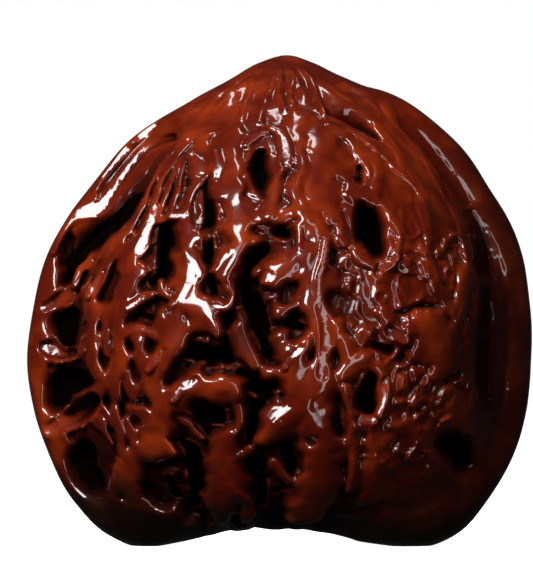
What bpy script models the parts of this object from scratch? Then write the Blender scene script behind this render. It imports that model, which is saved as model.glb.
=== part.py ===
"""A walnut in its shell, standing on its base with the tip up.

The nut is one solid. A smooth form is set by two outlines, the rim seen from the front and the belly seen
from the side. A raised rim runs round the seam between the two halves. The worn ridges keep to the smooth
form, and the ground and the pits between them lie below it. The front faces -Y.
"""

import math

import bpy
import numpy as np
from mathutils import Vector, noise

MM = 0.001

# Driving dimensions, in millimetres.
WIDTH = 45.0
HEIGHT = 43.7
DEPTH = 40.0
CORE_HEIGHT = 19.0
RIM_PROUD = 2.2
RIM_HALF_THICKNESS = 3.4
RIM_WIDER_AT_BASE = 1.8
FOOT_CUT = 0.18

# The relief, as millimetres below the worn form. The ground between the ridges is deepest low on the left.
GROUND = 2.8
GROUND_HIGHER_UP = 1.9
GROUND_ON_RIGHT = 1.4
RIDGELET = 1.0
RIDGELET_HALF_WIDTH = 0.13
RIDGE_BLEND = 0.22
LEAST_RIM_HALF = 1.3
DEEPEST_AT_ENDS = 6.0
TIP_RIB = 0.3
BASE_RIB = 0.5
RIBS_ROUND = 17

# The irregularities, as (size of a lump in millimetres, seed).
LUMPS = (1.7, 2.1)
BUMPS = (3.1, 9.4)
RIDGELETS = (2.3, 11.0)
RIM_WAVES = (4.0, 7.7)
WANDER_BROAD, WANDER_FINE = (2.6, 5.3), (1.1, 5.3)
WANDER_BROAD_BY, WANDER_FINE_BY = 0.50, 0.22

FINE_LEVEL = 7
TRIANGLES = 10000

# The rim seen from the front, as (x, z) in millimetres, anticlockwise from the right-hand side.
RIM = [
    (22.5, 17.5), (22.2, 23.5), (21.0, 28.0), (18.9, 31.7), (15.9, 35.9), (13.0, 38.4), (9.4, 40.5),
    (7.4, 41.0), (5.2, 41.9), (3.0, 43.0), (0.6, 43.7), (-1.8, 43.0), (-4.0, 41.7), (-7.5, 39.9),
    (-10.8, 38.0), (-13.9, 35.6), (-16.3, 32.7), (-19.1, 29.0), (-20.9, 25.5), (-22.0, 21.0),
    (-22.5, 16.0), (-22.0, 12.5), (-20.4, 7.7), (-18.3, 4.0), (-15.1, 1.0), (-12.2, 0.0),
    (-9.6, 0.5), (-6.8, 1.8), (-3.0, 3.0), (0.5, 3.3), (3.8, 2.4), (7.2, 0.9), (10.3, 0.1), (13.2, 0.1),
    (16.0, 1.3), (18.6, 4.1), (20.6, 7.4), (22.0, 11.8),
]

# The smooth band inside the rim's outline, as (degrees anticlockwise from +X, width) seen from the front.
SMOOTH_BAND = [
    (-180, 2.0), (-165, 2.0), (-150, 2.4), (-135, 3.6), (-121, 4.2), (-106, -3.0), (-76, -3.0), (-60, 3.6),
    (-45, 3.4), (-30, 2.4), (-10, 2.0), (20, 2.0), (35, 3.0), (50, 3.6), (66, 3.4), (80, 1.8), (100, 1.8),
    (112, 3.0), (128, 4.4), (140, 5.0), (150, 2.6), (160, 2.2), (180, 2.0),
]

# The belly seen from the side, as (distance from the seam, z), from under the tip down to the hollow base.
BELLY = [
    (3.4, 42.3), (7.2, 40.2), (11.4, 37.0), (15.4, 32.2), (18.4, 26.2), (19.9, 20.0), (19.3, 13.4),
    (17.0, 7.9), (13.4, 4.0), (9.2, 1.9), (4.6, 2.2),
]

# Ridges on the front, as (half width, depth of the top below the worn form, course as (x, z)).
TIP_FAN = [
    (0.30, 0.0, [(-0.4, 42.6), (-1.0, 41.0), (-1.5, 39.4), (-1.9, 38.0)]),
    (0.30, 0.0, [(-1.7, 42.6), (-2.5, 41.0), (-2.9, 39.4), (-3.3, 38.2)]),
    (0.35, 0.0, [(-2.8, 42.0), (-4.2, 40.4), (-5.4, 38.8)]),
    (0.45, 0.0, [(-3.8, 41.4), (-5.8, 39.6), (-7.6, 38.2), (-9.2, 37.4)]),
    (0.30, 0.0, [(0.2, 42.6), (0.1, 41.0), (0.3, 39.4), (0.6, 38.4)]),
    (0.30, 0.0, [(1.0, 42.8), (1.3, 41.0), (1.6, 39.6)]),
    (0.35, 0.0, [(2.1, 42.6), (3.1, 40.9), (3.8, 39.0), (4.2, 37.6)]),
    (0.40, 0.0, [(3.0, 42.4), (4.8, 40.8), (6.4, 39.6)]),
    (0.45, 0.0, [(4.4, 42.0), (6.6, 40.6), (8.2, 39.4), (9.2, 38.0)]),
]
SPINE = [
    (1.3, 0.1, [(1.3, 38.6), (1.9, 37.0), (2.6, 35.2), (3.3, 33.0), (3.8, 30.8)]),
    (1.0, 0.0, [(1.2, 38.0), (1.6, 36.4), (1.8, 34.5), (1.6, 32.5), (2.1, 30.0), (2.5, 28.0), (3.2, 26.0),
                (3.3, 24.0), (3.5, 22.0), (4.0, 20.0), (4.1, 18.0), (3.7, 16.0), (3.2, 14.0), (2.9, 12.0),
                (3.4, 10.0)]),
    (1.5, 0.0, [(3.6, 10.4), (3.9, 8.0), (3.6, 6.0), (3.0, 4.0), (2.2, 2.0)]),
    (0.8, 0.1, [(4.5, 31.5), (5.2, 29.6), (4.6, 27.6), (4.9, 25.8)]),
    (1.0, 0.0, [(2.6, 25.9), (1.4, 25.2), (0.2, 24.2), (-0.8, 23.3)]),
    (0.7, 0.6, [(1.8, 21.6), (0.8, 21.3), (0.0, 21.1)]),
    (0.8, 0.2, [(1.9, 30.6), (0.7, 29.7), (-0.6, 29.1), (-2.0, 29.0)]),
    (0.5, 1.8, [(0.6, 26.3), (-0.4, 25.8), (-0.9, 25.4)]),
    (0.6, 0.9, [(0.4, 18.9), (0.5, 17.8), (0.2, 16.8)]),
    (1.2, 0.0, [(2.7, 18.0), (1.9, 17.0), (1.4, 16.0), (1.5, 14.5), (2.0, 13.0)]),
    (1.1, 0.0, [(2.3, 12.8), (1.1, 12.0), (0.1, 11.0), (-0.9, 10.2)]),
    (0.8, 0.7, [(-0.7, 7.7), (0.2, 6.8), (1.1, 6.0)]),
]
BESIDE_THE_GAP = [
    (1.4, 0.0, [(-5.6, 36.4), (-4.6, 35.0), (-4.2, 33.0), (-4.1, 31.0), (-3.8, 29.3), (-3.3, 28.2)]),
    (1.0, 0.0, [(-2.9, 28.6), (-2.9, 27.2), (-3.8, 26.0), (-4.8, 25.1), (-5.4, 24.2)]),
    (0.6, 0.7, [(-4.7, 24.6), (-4.7, 23.2), (-4.0, 22.5), (-4.4, 21.6), (-5.0, 21.0)]),
    (0.8, 1.1, [(-3.4, 19.4), (-3.2, 18.2), (-2.8, 17.0), (-2.1, 16.2)]),
    (0.7, 0.0, [(-3.4, 35.1), (-2.4, 35.8), (-1.0, 36.4), (0.6, 36.2)]),
    (0.7, 0.1, [(0.3, 35.6), (0.5, 34.2), (0.2, 33.0), (-0.3, 32.0), (-0.9, 30.8), (-0.9, 29.6)]),
    (1.0, 0.0, [(-9.6, 12.6), (-8.8, 13.5), (-7.5, 14.3), (-6.0, 14.6), (-4.6, 14.4)]),
    (0.7, 0.5, [(-4.9, 14.2), (-4.0, 13.0), (-3.7, 12.0), (-3.6, 10.9), (-4.1, 9.8)]),
    (1.2, 0.1, [(-4.4, 9.6), (-4.8, 8.2), (-4.7, 6.6), (-4.7, 5.2), (-5.4, 3.6), (-5.2, 1.8)]),
    (0.7, 0.3, [(-4.3, 5.6), (-3.3, 4.4), (-2.9, 3.0), (-3.6, 1.8)]),
    (0.5, 0.7, [(-4.0, 8.0), (-3.1, 8.5), (-2.5, 8.9)]),
    (0.6, 1.0, [(-9.2, 11.8), (-8.2, 10.9), (-7.3, 10.0)]),
    (0.7, 0.8, [(-10.4, 9.7), (-9.4, 9.1), (-8.5, 8.6)]),
]
LEFT = [
    (1.0, 0.0, [(-8.8, 36.4), (-7.7, 35.2), (-7.1, 33.8), (-6.9, 32.6), (-7.5, 31.2), (-8.2, 29.8)]),
    (1.1, 0.0, [(-8.2, 29.8), (-7.9, 28.0), (-7.8, 26.2), (-7.6, 24.6), (-7.9, 23.0), (-8.5, 21.6),
                (-9.0, 20.0), (-9.3, 18.3), (-9.8, 17.0), (-10.6, 15.8)]),
    (1.3, 0.0, [(-8.2, 22.6), (-7.2, 21.6), (-6.3, 20.6), (-5.7, 19.6)]),
    (1.2, 0.0, [(-10.7, 15.8), (-11.0, 14.6), (-10.5, 13.2), (-10.3, 11.8), (-10.7, 10.4), (-11.7, 9.2),
                (-12.7, 8.0), (-13.2, 6.8), (-12.7, 5.6)]),
    (0.7, 0.1, [(-12.9, 12.0), (-12.6, 10.5), (-12.3, 9.0)]),
    (0.8, 0.4, [(-9.2, 21.8), (-9.9, 22.5), (-9.8, 23.2)]),
    (0.6, 0.1, [(-8.2, 29.9), (-9.3, 29.4), (-10.5, 28.8), (-11.8, 28.9)]),
    (0.5, 0.1, [(-9.9, 33.8), (-10.4, 31.8), (-10.9, 29.8)]),
    (0.5, 0.2, [(-9.1, 34.4), (-9.5, 32.2), (-9.9, 30.2)]),
    (0.6, 0.0, [(-5.9, 35.4), (-5.6, 33.8), (-5.7, 32.2)]),
    (1.1, 0.0, [(-9.8, 35.0), (-10.8, 33.2), (-11.4, 31.3), (-11.9, 29.5), (-12.4, 27.6), (-12.9, 26.0),
                (-13.2, 24.0), (-13.4, 22.0), (-13.9, 20.0), (-14.1, 18.2), (-13.7, 16.6), (-14.4, 15.2),
                (-14.5, 13.8)]),
    (0.9, 0.0, [(-15.6, 13.4), (-14.6, 12.4), (-14.3, 11.0), (-13.9, 9.4), (-13.8, 8.0), (-14.3, 6.6),
                (-14.4, 5.2)]),
    (0.8, 0.2, [(-13.6, 21.0), (-12.6, 21.7), (-11.5, 22.0)]),
    (0.6, 0.7, [(-14.0, 18.6), (-13.0, 18.8), (-12.0, 19.3), (-11.0, 19.2), (-10.3, 18.6)]),
    (0.9, 0.0, [(-11.9, 32.6), (-12.7, 30.6), (-13.4, 28.6), (-14.3, 27.0), (-15.0, 25.6), (-15.5, 24.3),
                (-16.1, 23.0), (-16.6, 21.6), (-16.5, 20.0), (-16.5, 18.3), (-16.4, 16.8), (-16.0, 15.8)]),
    (0.8, 0.0, [(-15.2, 26.2), (-16.3, 25.2), (-17.3, 24.2), (-18.2, 22.9), (-19.3, 22.1), (-20.4, 21.3)]),
    (0.6, 0.4, [(-16.6, 17.8), (-18.0, 17.2), (-19.2, 16.8), (-20.2, 16.9)]),
    (1.0, 0.0, [(-15.2, 14.4), (-16.0, 13.3), (-16.9, 12.1), (-18.0, 11.2), (-19.2, 10.6), (-20.2, 9.7)]),
    (0.8, 0.1, [(-16.7, 11.9), (-15.9, 10.9), (-15.1, 9.9), (-14.5, 9.0)]),
    (0.7, 0.0, [(-8.4, 36.2), (-10.0, 36.0), (-11.3, 35.5), (-12.8, 34.0), (-14.0, 32.6), (-15.0, 31.2),
                (-15.6, 30.1), (-17.0, 29.4), (-18.5, 28.6)]),
    (0.9, 0.2, [(-13.2, 5.4), (-12.6, 4.2), (-11.8, 3.2)]),
]
RIGHT = [
    (0.8, 0.0, [(4.6, 37.4), (6.5, 36.6), (8.0, 35.3), (9.4, 34.0), (10.8, 32.6), (12.2, 31.4), (13.3, 29.8),
                (13.7, 28.0), (13.6, 26.2)]),
    (0.8, 0.0, [(8.7, 36.0), (10.0, 35.2), (11.2, 34.0), (12.0, 32.6), (12.6, 31.2)]),
    (0.9, 0.0, [(8.6, 39.6), (9.6, 37.6), (11.2, 36.3), (12.3, 34.9), (13.6, 33.6), (14.6, 32.0),
                (15.2, 30.5), (16.0, 29.2), (16.6, 27.6), (16.6, 26.0), (16.3, 24.4), (16.1, 22.8),
                (15.9, 21.2), (15.6, 19.8)]),
    (0.7, 0.3, [(16.3, 24.8), (17.4, 23.8), (18.6, 23.2), (19.6, 23.0)]),
    (0.7, 0.3, [(15.8, 18.8), (17.0, 18.8), (18.4, 19.1), (19.8, 19.0)]),
    (0.6, 0.4, [(14.8, 31.2), (15.8, 31.0), (16.8, 31.2), (17.6, 30.8)]),
    (0.8, 0.3, [(15.2, 12.8), (16.4, 11.2), (17.4, 10.4), (18.8, 10.6)]),
    (2.0, 0.0, [(12.8, 19.6), (13.8, 18.2), (14.2, 16.6), (13.8, 15.0)]),
    (0.8, 0.0, [(12.0, 19.5), (10.8, 19.3), (9.8, 19.6), (9.4, 21.2), (9.6, 23.2)]),
    (0.7, 0.0, [(6.2, 31.0), (7.4, 30.9), (8.6, 30.2), (9.6, 29.2), (10.3, 28.0), (10.6, 26.6), (10.2, 25.2),
                (9.2, 24.5), (8.2, 25.0), (7.0, 26.0), (6.3, 27.2), (6.0, 28.8), (6.2, 31.0)]),
    (0.6, 0.0, [(7.6, 16.8), (6.4, 15.8), (5.7, 14.6), (6.3, 13.0), (7.1, 11.7), (8.2, 11.0), (9.1, 11.8),
                (9.5, 13.4), (9.3, 15.0), (8.6, 16.4), (7.6, 16.8)]),
    (1.2, 0.0, [(7.8, 10.6), (8.7, 9.0), (8.9, 7.4), (8.5, 5.8), (7.9, 4.4)]),
    (0.7, 0.0, [(9.6, 10.8), (11.4, 10.8), (12.6, 10.0), (12.2, 9.0), (11.4, 8.2)]),
    (0.8, 0.2, [(5.0, 10.4), (5.4, 8.8), (6.0, 7.2), (6.5, 5.4), (6.1, 3.4)]),
    (0.6, 0.1, [(11.2, 31.0), (10.9, 29.0), (11.5, 27.2), (11.1, 25.6), (11.4, 24.0)]),
    (0.6, 0.1, [(12.4, 30.4), (12.9, 28.6), (12.8, 27.0), (13.3, 25.4), (13.3, 24.0), (14.1, 22.8),
                (14.8, 21.4), (15.0, 20.0)]),
    (0.5, 0.1, [(14.4, 28.8), (14.8, 27.2), (14.6, 25.6), (15.0, 24.0), (15.2, 22.4)]),
    (0.5, 0.1, [(10.4, 23.2), (11.6, 22.4), (12.6, 22.8), (13.8, 22.2)]),
    (0.6, 0.1, [(11.2, 22.2), (11.8, 20.6)]),
    (0.6, 0.1, [(5.4, 24.6), (6.6, 24.0), (7.6, 23.3), (8.8, 22.2)]),
    (0.6, 0.1, [(5.0, 21.6), (6.2, 21.3), (7.2, 20.6), (8.4, 20.3)]),
    (0.7, 0.1, [(4.6, 36.2), (5.4, 34.9), (5.6, 33.4), (5.2, 31.6)]),
    (0.7, 0.1, [(8.3, 34.4), (8.8, 32.8), (8.6, 31.2)]),
    (0.6, 0.2, [(10.0, 15.4), (11.2, 14.6), (12.4, 14.9), (13.6, 14.2)]),
    (0.6, 0.2, [(11.0, 13.6), (11.3, 12.0), (11.0, 11.0)]),
    (0.6, 0.3, [(12.2, 12.7), (13.4, 12.5), (14.6, 11.6)]),
    (0.9, 0.4, [(13.6, 7.6), (14.4, 6.0), (14.5, 4.4)]),
    (0.6, 0.3, [(10.4, 5.6), (11.4, 6.2), (12.3, 6.8)]),
    (0.6, 0.1, [(4.8, 14.8), (4.4, 12.8), (4.6, 11.0)]),
    (0.7, 0.1, [(5.0, 19.8), (5.6, 18.4), (6.4, 17.2), (7.6, 16.8)]),
]

# Pits on the front, as (radius, depth of the floor below the worn form, course as (x, z)). Those beside the
# rim are cut straight back and seen at their full size from the front.
RIM_PITS = [
    (0.6, 4.0, [(-9.3, 35.9), (-10.6, 34.9), (-11.8, 33.4)]),
    (0.9, 5.5, [(-11.9, 33.2), (-12.9, 31.6), (-14.2, 29.8)]),
    (1.5, 7.5, [(-14.9, 28.6), (-16.2, 27.4), (-17.3, 26.0), (-18.0, 24.8)]),
    (1.2, 7.5, [(-17.0, 27.5), (-18.5, 26.4), (-19.2, 25.0), (-19.4, 23.8)]),
    (1.7, 7.5, [(-18.4, 20.3), (-19.2, 19.8), (-19.6, 19.2)]),
    (1.7, 7.5, [(-16.8, 14.2), (-18.0, 14.7), (-19.6, 14.1)]),
    (2.3, 7.5, [(-16.4, 8.0), (-17.0, 7.2), (-17.2, 6.2)]),
    (1.2, 6.0, [(-15.6, 4.2), (-17.0, 4.6)]),
    (0.9, 2.2, [(12.3, 36.4), (13.9, 34.5), (15.4, 32.5), (16.7, 30.6)]),
    (0.6, 3.2, [(13.0, 32.4), (13.6, 31.0), (14.2, 29.6)]),
    (1.1, 6.0, [(17.4, 29.0), (18.4, 27.4), (18.9, 25.9)]),
    (1.5, 6.5, [(17.6, 21.4), (18.9, 20.7)]),
    (1.6, 6.0, [(17.3, 16.6), (18.7, 15.6)]),
    (0.9, 4.0, [(18.3, 12.4), (19.3, 11.6)]),
    (1.6, 6.0, [(14.4, 9.3), (15.6, 8.9), (16.6, 7.8)]),
    (0.9, 3.5, [(17.2, 5.9), (18.3, 7.4)]),
]
GAP_PITS = [
    (1.1, 4.4, [(-2.0, 26.4), (-2.3, 24.4), (-2.2, 22.4), (-1.9, 20.4), (-1.2, 18.4)]),
    (1.1, 4.4, [(-0.4, 27.6), (0.5, 27.5)]),
    (1.4, 3.6, [(-1.6, 34.0), (-1.5, 32.2)]),
    (0.9, 4.0, [(0.9, 19.8), (1.8, 19.3)]),
    (1.4, 4.6, [(-2.8, 14.3), (-1.2, 14.4), (-0.5, 13.8)]),
    (0.9, 4.2, [(-2.0, 12.4), (-2.4, 10.4)]),
    (1.3, 4.4, [(-2.0, 8.0), (-1.8, 5.6), (-1.4, 3.2)]),
    (1.1, 3.4, [(1.1, 8.6), (1.1, 7.4)]),
    (0.8, 2.6, [(0.4, 4.6), (0.6, 2.8)]),
    (0.8, 3.8, [(-4.3, 20.4), (-4.4, 18.4), (-4.2, 16.6)]),
]
LEFT_PITS = [
    (1.1, 4.4, [(-9.5, 28.0), (-9.4, 26.4), (-9.9, 24.8), (-11.0, 23.8)]),
    (0.6, 2.6, [(-8.8, 32.8), (-8.8, 31.0)]),
    (0.8, 3.6, [(-12.4, 20.2), (-11.0, 20.4)]),
    (0.9, 3.8, [(-12.4, 17.4), (-11.2, 17.6)]),
    (0.9, 3.8, [(-12.6, 15.2), (-12.4, 13.8)]),
    (0.4, 2.6, [(-13.3, 11.0), (-13.1, 9.0)]),
    (0.5, 1.6, [(-11.8, 12.1), (-11.6, 12.4)]),
    (0.7, 4.0, [(-5.6, 23.4), (-5.5, 21.9)]),
    (1.0, 4.0, [(-6.2, 28.6), (-6.2, 27.0), (-6.5, 25.4)]),
    (0.5, 3.0, [(-5.8, 31.4), (-5.8, 29.6)]),
    (1.5, 4.4, [(-7.8, 17.6), (-6.3, 17.2), (-5.2, 17.4)]),
    (1.3, 4.4, [(-6.8, 11.6), (-5.4, 11.4)]),
    (1.4, 4.4, [(-7.6, 8.4), (-7.3, 6.2), (-7.6, 4.0)]),
    (0.8, 3.0, [(-11.4, 6.8), (-10.0, 6.4), (-9.6, 4.6)]),
    (0.6, 2.6, [(-4.3, 3.6), (-4.3, 2.8)]),
    (0.4, 2.6, [(-15.0, 19.6), (-15.0, 17.2)]),
    (0.4, 2.2, [(-15.0, 23.4), (-15.8, 21.8)]),
]
RIGHT_PITS = [
    (1.4, 3.8, [(7.8, 28.8), (8.4, 27.2)]),
    (0.7, 2.8, [(6.7, 33.6), (7.4, 32.6)]),
    (1.0, 2.6, [(5.2, 38.4), (7.0, 37.8), (8.4, 36.9)]),
    (0.8, 3.6, [(10.8, 16.9), (12.6, 17.1)]),
    (0.8, 3.4, [(8.8, 18.0), (9.6, 17.8)]),
    (0.8, 3.0, [(6.4, 19.2), (7.8, 19.0)]),
    (1.0, 3.8, [(7.4, 14.8), (7.9, 12.8)]),
    (0.7, 3.2, [(5.3, 13.0), (5.5, 10.6)]),
    (0.8, 2.8, [(6.4, 9.2), (7.0, 7.0)]),
    (0.7, 2.0, [(15.7, 26.9), (15.6, 25.2)]),
    (0.6, 2.0, [(12.2, 26.6), (12.0, 25.4)]),
    (0.7, 2.2, [(10.8, 21.6), (10.7, 20.6)]),
    (0.7, 2.2, [(10.6, 7.6), (10.4, 8.4)]),
    (0.6, 2.0, [(8.4, 3.4), (10.6, 3.8)]),
]

# Shallow dents that cross the rim too, in the same form.
RIM_DENTS = [
    (0.9, 1.0, [(-10.8, 37.0), (-12.2, 36.0), (-14.0, 34.2), (-15.4, 32.6), (-16.2, 31.4)]),
    (0.8, 0.8, [(11.4, 37.4), (13.2, 36.2), (14.8, 34.6), (16.2, 32.8)]),
]


def smoothstep(low, high, value):
    t = np.clip((value - low) / (high - low), 0.0, 1.0)
    return t * t * (3.0 - 2.0 * t)


def through_points(places, values, asked):
    """A smooth curve through the values at these places, a Hermite spline, read at each asked place."""
    slopes = np.gradient(values, places)
    span = np.clip(np.searchsorted(places, asked) - 1, 0, len(places) - 2)
    width = places[span + 1] - places[span]
    t = (asked - places[span]) / width
    rise = values[span] * (2 * t**3 - 3 * t**2 + 1) + values[span + 1] * (3 * t**2 - 2 * t**3)
    return rise + width * (slopes[span] * (t**3 - 2 * t**2 + t) + slopes[span + 1] * (t**3 - t**2))


def outline_radius(outline, angles):
    """The closed outline's distance from the core at each angle, in radians anticlockwise from +X."""
    x, z = np.array(outline).T
    places = np.arctan2(z - CORE_HEIGHT, x)
    order = np.argsort(places)
    turn = 2 * math.pi
    places = np.concatenate([places[order] - turn, places[order], places[order] + turn])
    values = np.tile(np.hypot(x, z - CORE_HEIGHT)[order], 3)
    return through_points(places, values, (angles + math.pi) % turn - math.pi)


def belly_radius(elevations):
    """The belly's distance from the core at each elevation. It meets the rim at the tip and at the base."""
    y, z = np.array(BELLY).T
    top, bottom = outline_radius(RIM, np.array([math.pi / 2, -math.pi / 2]))
    places = np.concatenate([[math.pi / 2], np.arctan2(z - CORE_HEIGHT, y), [-math.pi / 2]])[::-1]
    values = np.concatenate([[top], np.hypot(y, z - CORE_HEIGHT), [bottom]])[::-1]
    return through_points(places, values, elevations)


def rim_height(elevations):
    """How proud the rim is: it dies away towards the tip, and towards the hollow of the base."""
    degrees = np.degrees(elevations)
    return RIM_PROUD * (1 - smoothstep(45, 80, degrees)) * smoothstep(-88, -62, degrees)


def worn_form(directions):
    """The smooth form without its rim, and the rim's share of height, for unit directions from the core."""
    x, y, z = directions.T
    elevations = np.arcsin(np.clip(z, -1, 1))
    proud = rim_height(elevations)
    along_rim = np.where(x >= 0, elevations, math.pi - elevations)
    rim = outline_radius(RIM, along_rim) - proud
    belly = belly_radius(elevations)
    turn = np.arctan2(y, x)
    body = 1 / np.sqrt((np.cos(turn) / rim) ** 2 + (np.sin(turn) / belly) ** 2)
    at_base = smoothstep(-25, -58, np.degrees(elevations))
    off_seam = np.abs(y) * body / (RIM_HALF_THICKNESS * (1 + (RIM_WIDER_AT_BASE - 1) * at_base))
    return body, proud, 1 / (1 + off_seam**8)


def inside_band(surface):
    """How far each point is inside the smooth band at the rim, in millimetres as seen from the front."""
    x, z = surface[:, 0], surface[:, 2]
    angles = np.arctan2(z, x)
    inset = outline_radius(RIM, angles) - np.hypot(x, z)
    places, widths = np.array(SMOOTH_BAND, float).T
    return inset - np.interp(np.degrees(angles), places, widths)


def on_form(course, side):
    """The course, given as seen from the front, laid on the worn form at the front or the back."""
    points = np.array(course, float)
    near, far = np.zeros(len(points)), np.full(len(points), DEPTH / 2 + 2.0)
    for _ in range(40):
        middle = (near + far) / 2
        offset = np.stack([points[:, 0], side * middle, points[:, 1] - CORE_HEIGHT], axis=1)
        reach = np.linalg.norm(offset, axis=1)
        inside = reach < worn_form(offset / reach[:, None])[0]
        near, far = np.where(inside, middle, near), np.where(inside, far, middle)
    return np.stack([points[:, 0], side * near, points[:, 1] - CORE_HEIGHT], axis=1)


def rounded(points, steps=4):
    """The points with a smooth Catmull-Rom curve drawn through them."""
    ends = np.concatenate([[2 * points[0] - points[1]], points, [2 * points[-1] - points[-2]]])
    t = (np.arange(steps) / steps)[:, None]
    spans = []
    for a, b, c, d in zip(ends[:-3], ends[1:-2], ends[2:-1], ends[3:]):
        bend = (2 * a - 5 * b + 4 * c - d) * t**2 + (3 * b - a - 3 * c + d) * t**3
        spans.append(b + ((c - a) * t + bend) / 2)
    return np.concatenate([*spans, points[-1:]])


def distance_to_course(points, course):
    """The distance from each point to the line through the course's points."""
    nearest = np.full(len(points), np.inf)
    for start, end in zip(course[:-1], course[1:]):
        along = end - start
        share = np.clip((points - start) @ along / max(along @ along, 1e-12), 0, 1)
        nearest = np.minimum(nearest, np.linalg.norm(points - start - share[:, None] * along, axis=1))
    return nearest


def close_to(points, course, margin):
    """Which points can be within that margin of the course."""
    return np.linalg.norm(points - course.mean(axis=0), axis=1) < np.ptp(course, axis=0).max() + margin


def back_course(course):
    """The same course for the back half: turned round the nut, and pushed about so that it isn't a copy."""
    x, z = np.array(course).T
    return np.stack([-0.98 * x + 0.9 * np.sin(z / 4.6 + 0.8), z + 0.8 * np.sin(x / 3.7 + 1.9)], axis=1)


def courses(group):
    """(half width, depth, line) of each ridge or pit in the group, at the front and at the back."""
    for half_width, depth, course in group:
        yield half_width, depth, rounded(on_form(course, -1))
        yield half_width, depth, rounded(on_form(back_course(course), 1))


def push_at(place):
    """A smooth push to three sides, each from -1 to 1. It is the same at every run, as one noise read thrice."""
    apart = (Vector((9.3, 1.5, 7.9)), Vector((1.3, 7.7, 3.6)), Vector((4.8, 2.6, 9.5)))
    return np.array([noise.noise(place + offset) for offset in apart])


def wandered(points):
    """The points pushed about by noise, so that straight courses come out as crooked, knobbly ridges."""
    (broad_size, broad_seed), (fine_size, fine_seed) = WANDER_BROAD, WANDER_FINE
    moved = np.empty_like(points)
    for i, p in enumerate(points):
        broad = push_at(Vector(p) / broad_size + Vector((broad_seed, 0, 0)))
        fine = push_at(Vector(p) / fine_size + Vector((0, fine_seed, 0)))
        moved[i] = p + WANDER_BROAD_BY * broad + WANDER_FINE_BY * fine
    return moved


def swell(points, lumps):
    """Smooth noise from -1 to 1 at each point, for lumps given as (size, seed)."""
    size, seed = lumps
    return np.array([noise.noise(Vector(p) / size + Vector((0, 0, seed))) for p in points])


def ground_depth(surface, points):
    """The depth of the ground between the ridges, with its pits."""
    right = smoothstep(3.0, 9.0, surface[:, 0] * -np.sign(surface[:, 1]))
    high = smoothstep(1.0, 9.0, surface[:, 2])
    shallow = 1 - 0.6 * smoothstep(17.5, 20.5, surface[:, 2])
    left_depth = GROUND + (GROUND_HIGHER_UP - GROUND) * high
    right_depth = GROUND_ON_RIGHT - 0.3 * high
    within = inside_band(surface)
    ground = (left_depth + (right_depth - left_depth) * right) * shallow + 0.3 * swell(surface, LUMPS)
    ground *= smoothstep(-0.5, 0.5, within)

    for radius, floor, course in RIM_PITS:
        for side, flat in ((-1, np.array(course)), (1, back_course(course))):
            line = rounded(flat - [0, CORE_HEIGHT])
            reach = distance_to_course(points[:, [0, 2]], line) / radius
            share = (1 - smoothstep(0.3, 1.3, reach)) * (surface[:, 1] * side > 0)
            ground = np.maximum(ground, floor * share)
    for radius, floor, line in courses(GAP_PITS + LEFT_PITS + RIGHT_PITS):
        near = close_to(points, line, radius + 2)
        reach = distance_to_course(points[near], line) / radius
        ground[near] = np.maximum(ground[near], floor * (1 - smoothstep(0.55, 1.35, reach)))

    crests = np.exp(-((swell(points, RIDGELETS) / RIDGELET_HALF_WIDTH) ** 2)) * smoothstep(1.0, 4.0, within)
    return ground - RIDGELET * (1 - 0.3 * right) * shallow * crests


def relief(surface, elevations):
    """The depth of the real surface below the worn form, at each point of that form."""
    points = wandered(surface)
    lumps, bumps = swell(surface, LUMPS), swell(surface, BUMPS)
    heights = np.exp(-ground_depth(surface, points) / RIDGE_BLEND)
    for half_width, top, line in courses(TIP_FAN + SPINE + BESIDE_THE_GAP + LEFT + RIGHT):
        near = close_to(points, line, 3 * half_width + 1)
        reach = distance_to_course(points[near], line) / (half_width * (1 + 0.35 * lumps[near]))
        heights[near] += np.exp(-(top + 0.35 * bumps[near] + 0.6 * reach**3) / RIDGE_BLEND)
    depth = -RIDGE_BLEND * np.log(heights)
    degrees = np.degrees(elevations)
    return depth * (1 - smoothstep(77, 87, degrees) - smoothstep(-70, -84, degrees))


def end_ribs(directions):
    """Low ribs that run out from the tip, and from the middle of the base, in millimetres of depth."""
    x, y, z = directions.T
    turn, degrees = np.arctan2(y, x), np.degrees(np.arcsin(np.clip(z, -1, 1)))
    crooked = turn + 0.12 * np.sin(3 * turn + 1.0) + 0.0016 * np.abs(degrees) * np.sin(5 * turn)
    ribs = 0.5 + 0.5 * np.cos(RIBS_ROUND * crooked)
    at_tip = smoothstep(86, 80, degrees) * smoothstep(60, 72, degrees)
    at_base = smoothstep(-62, -72, degrees) * smoothstep(-89, -82, degrees)
    return ribs * (TIP_RIB * at_tip + BASE_RIB * at_base)


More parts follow.
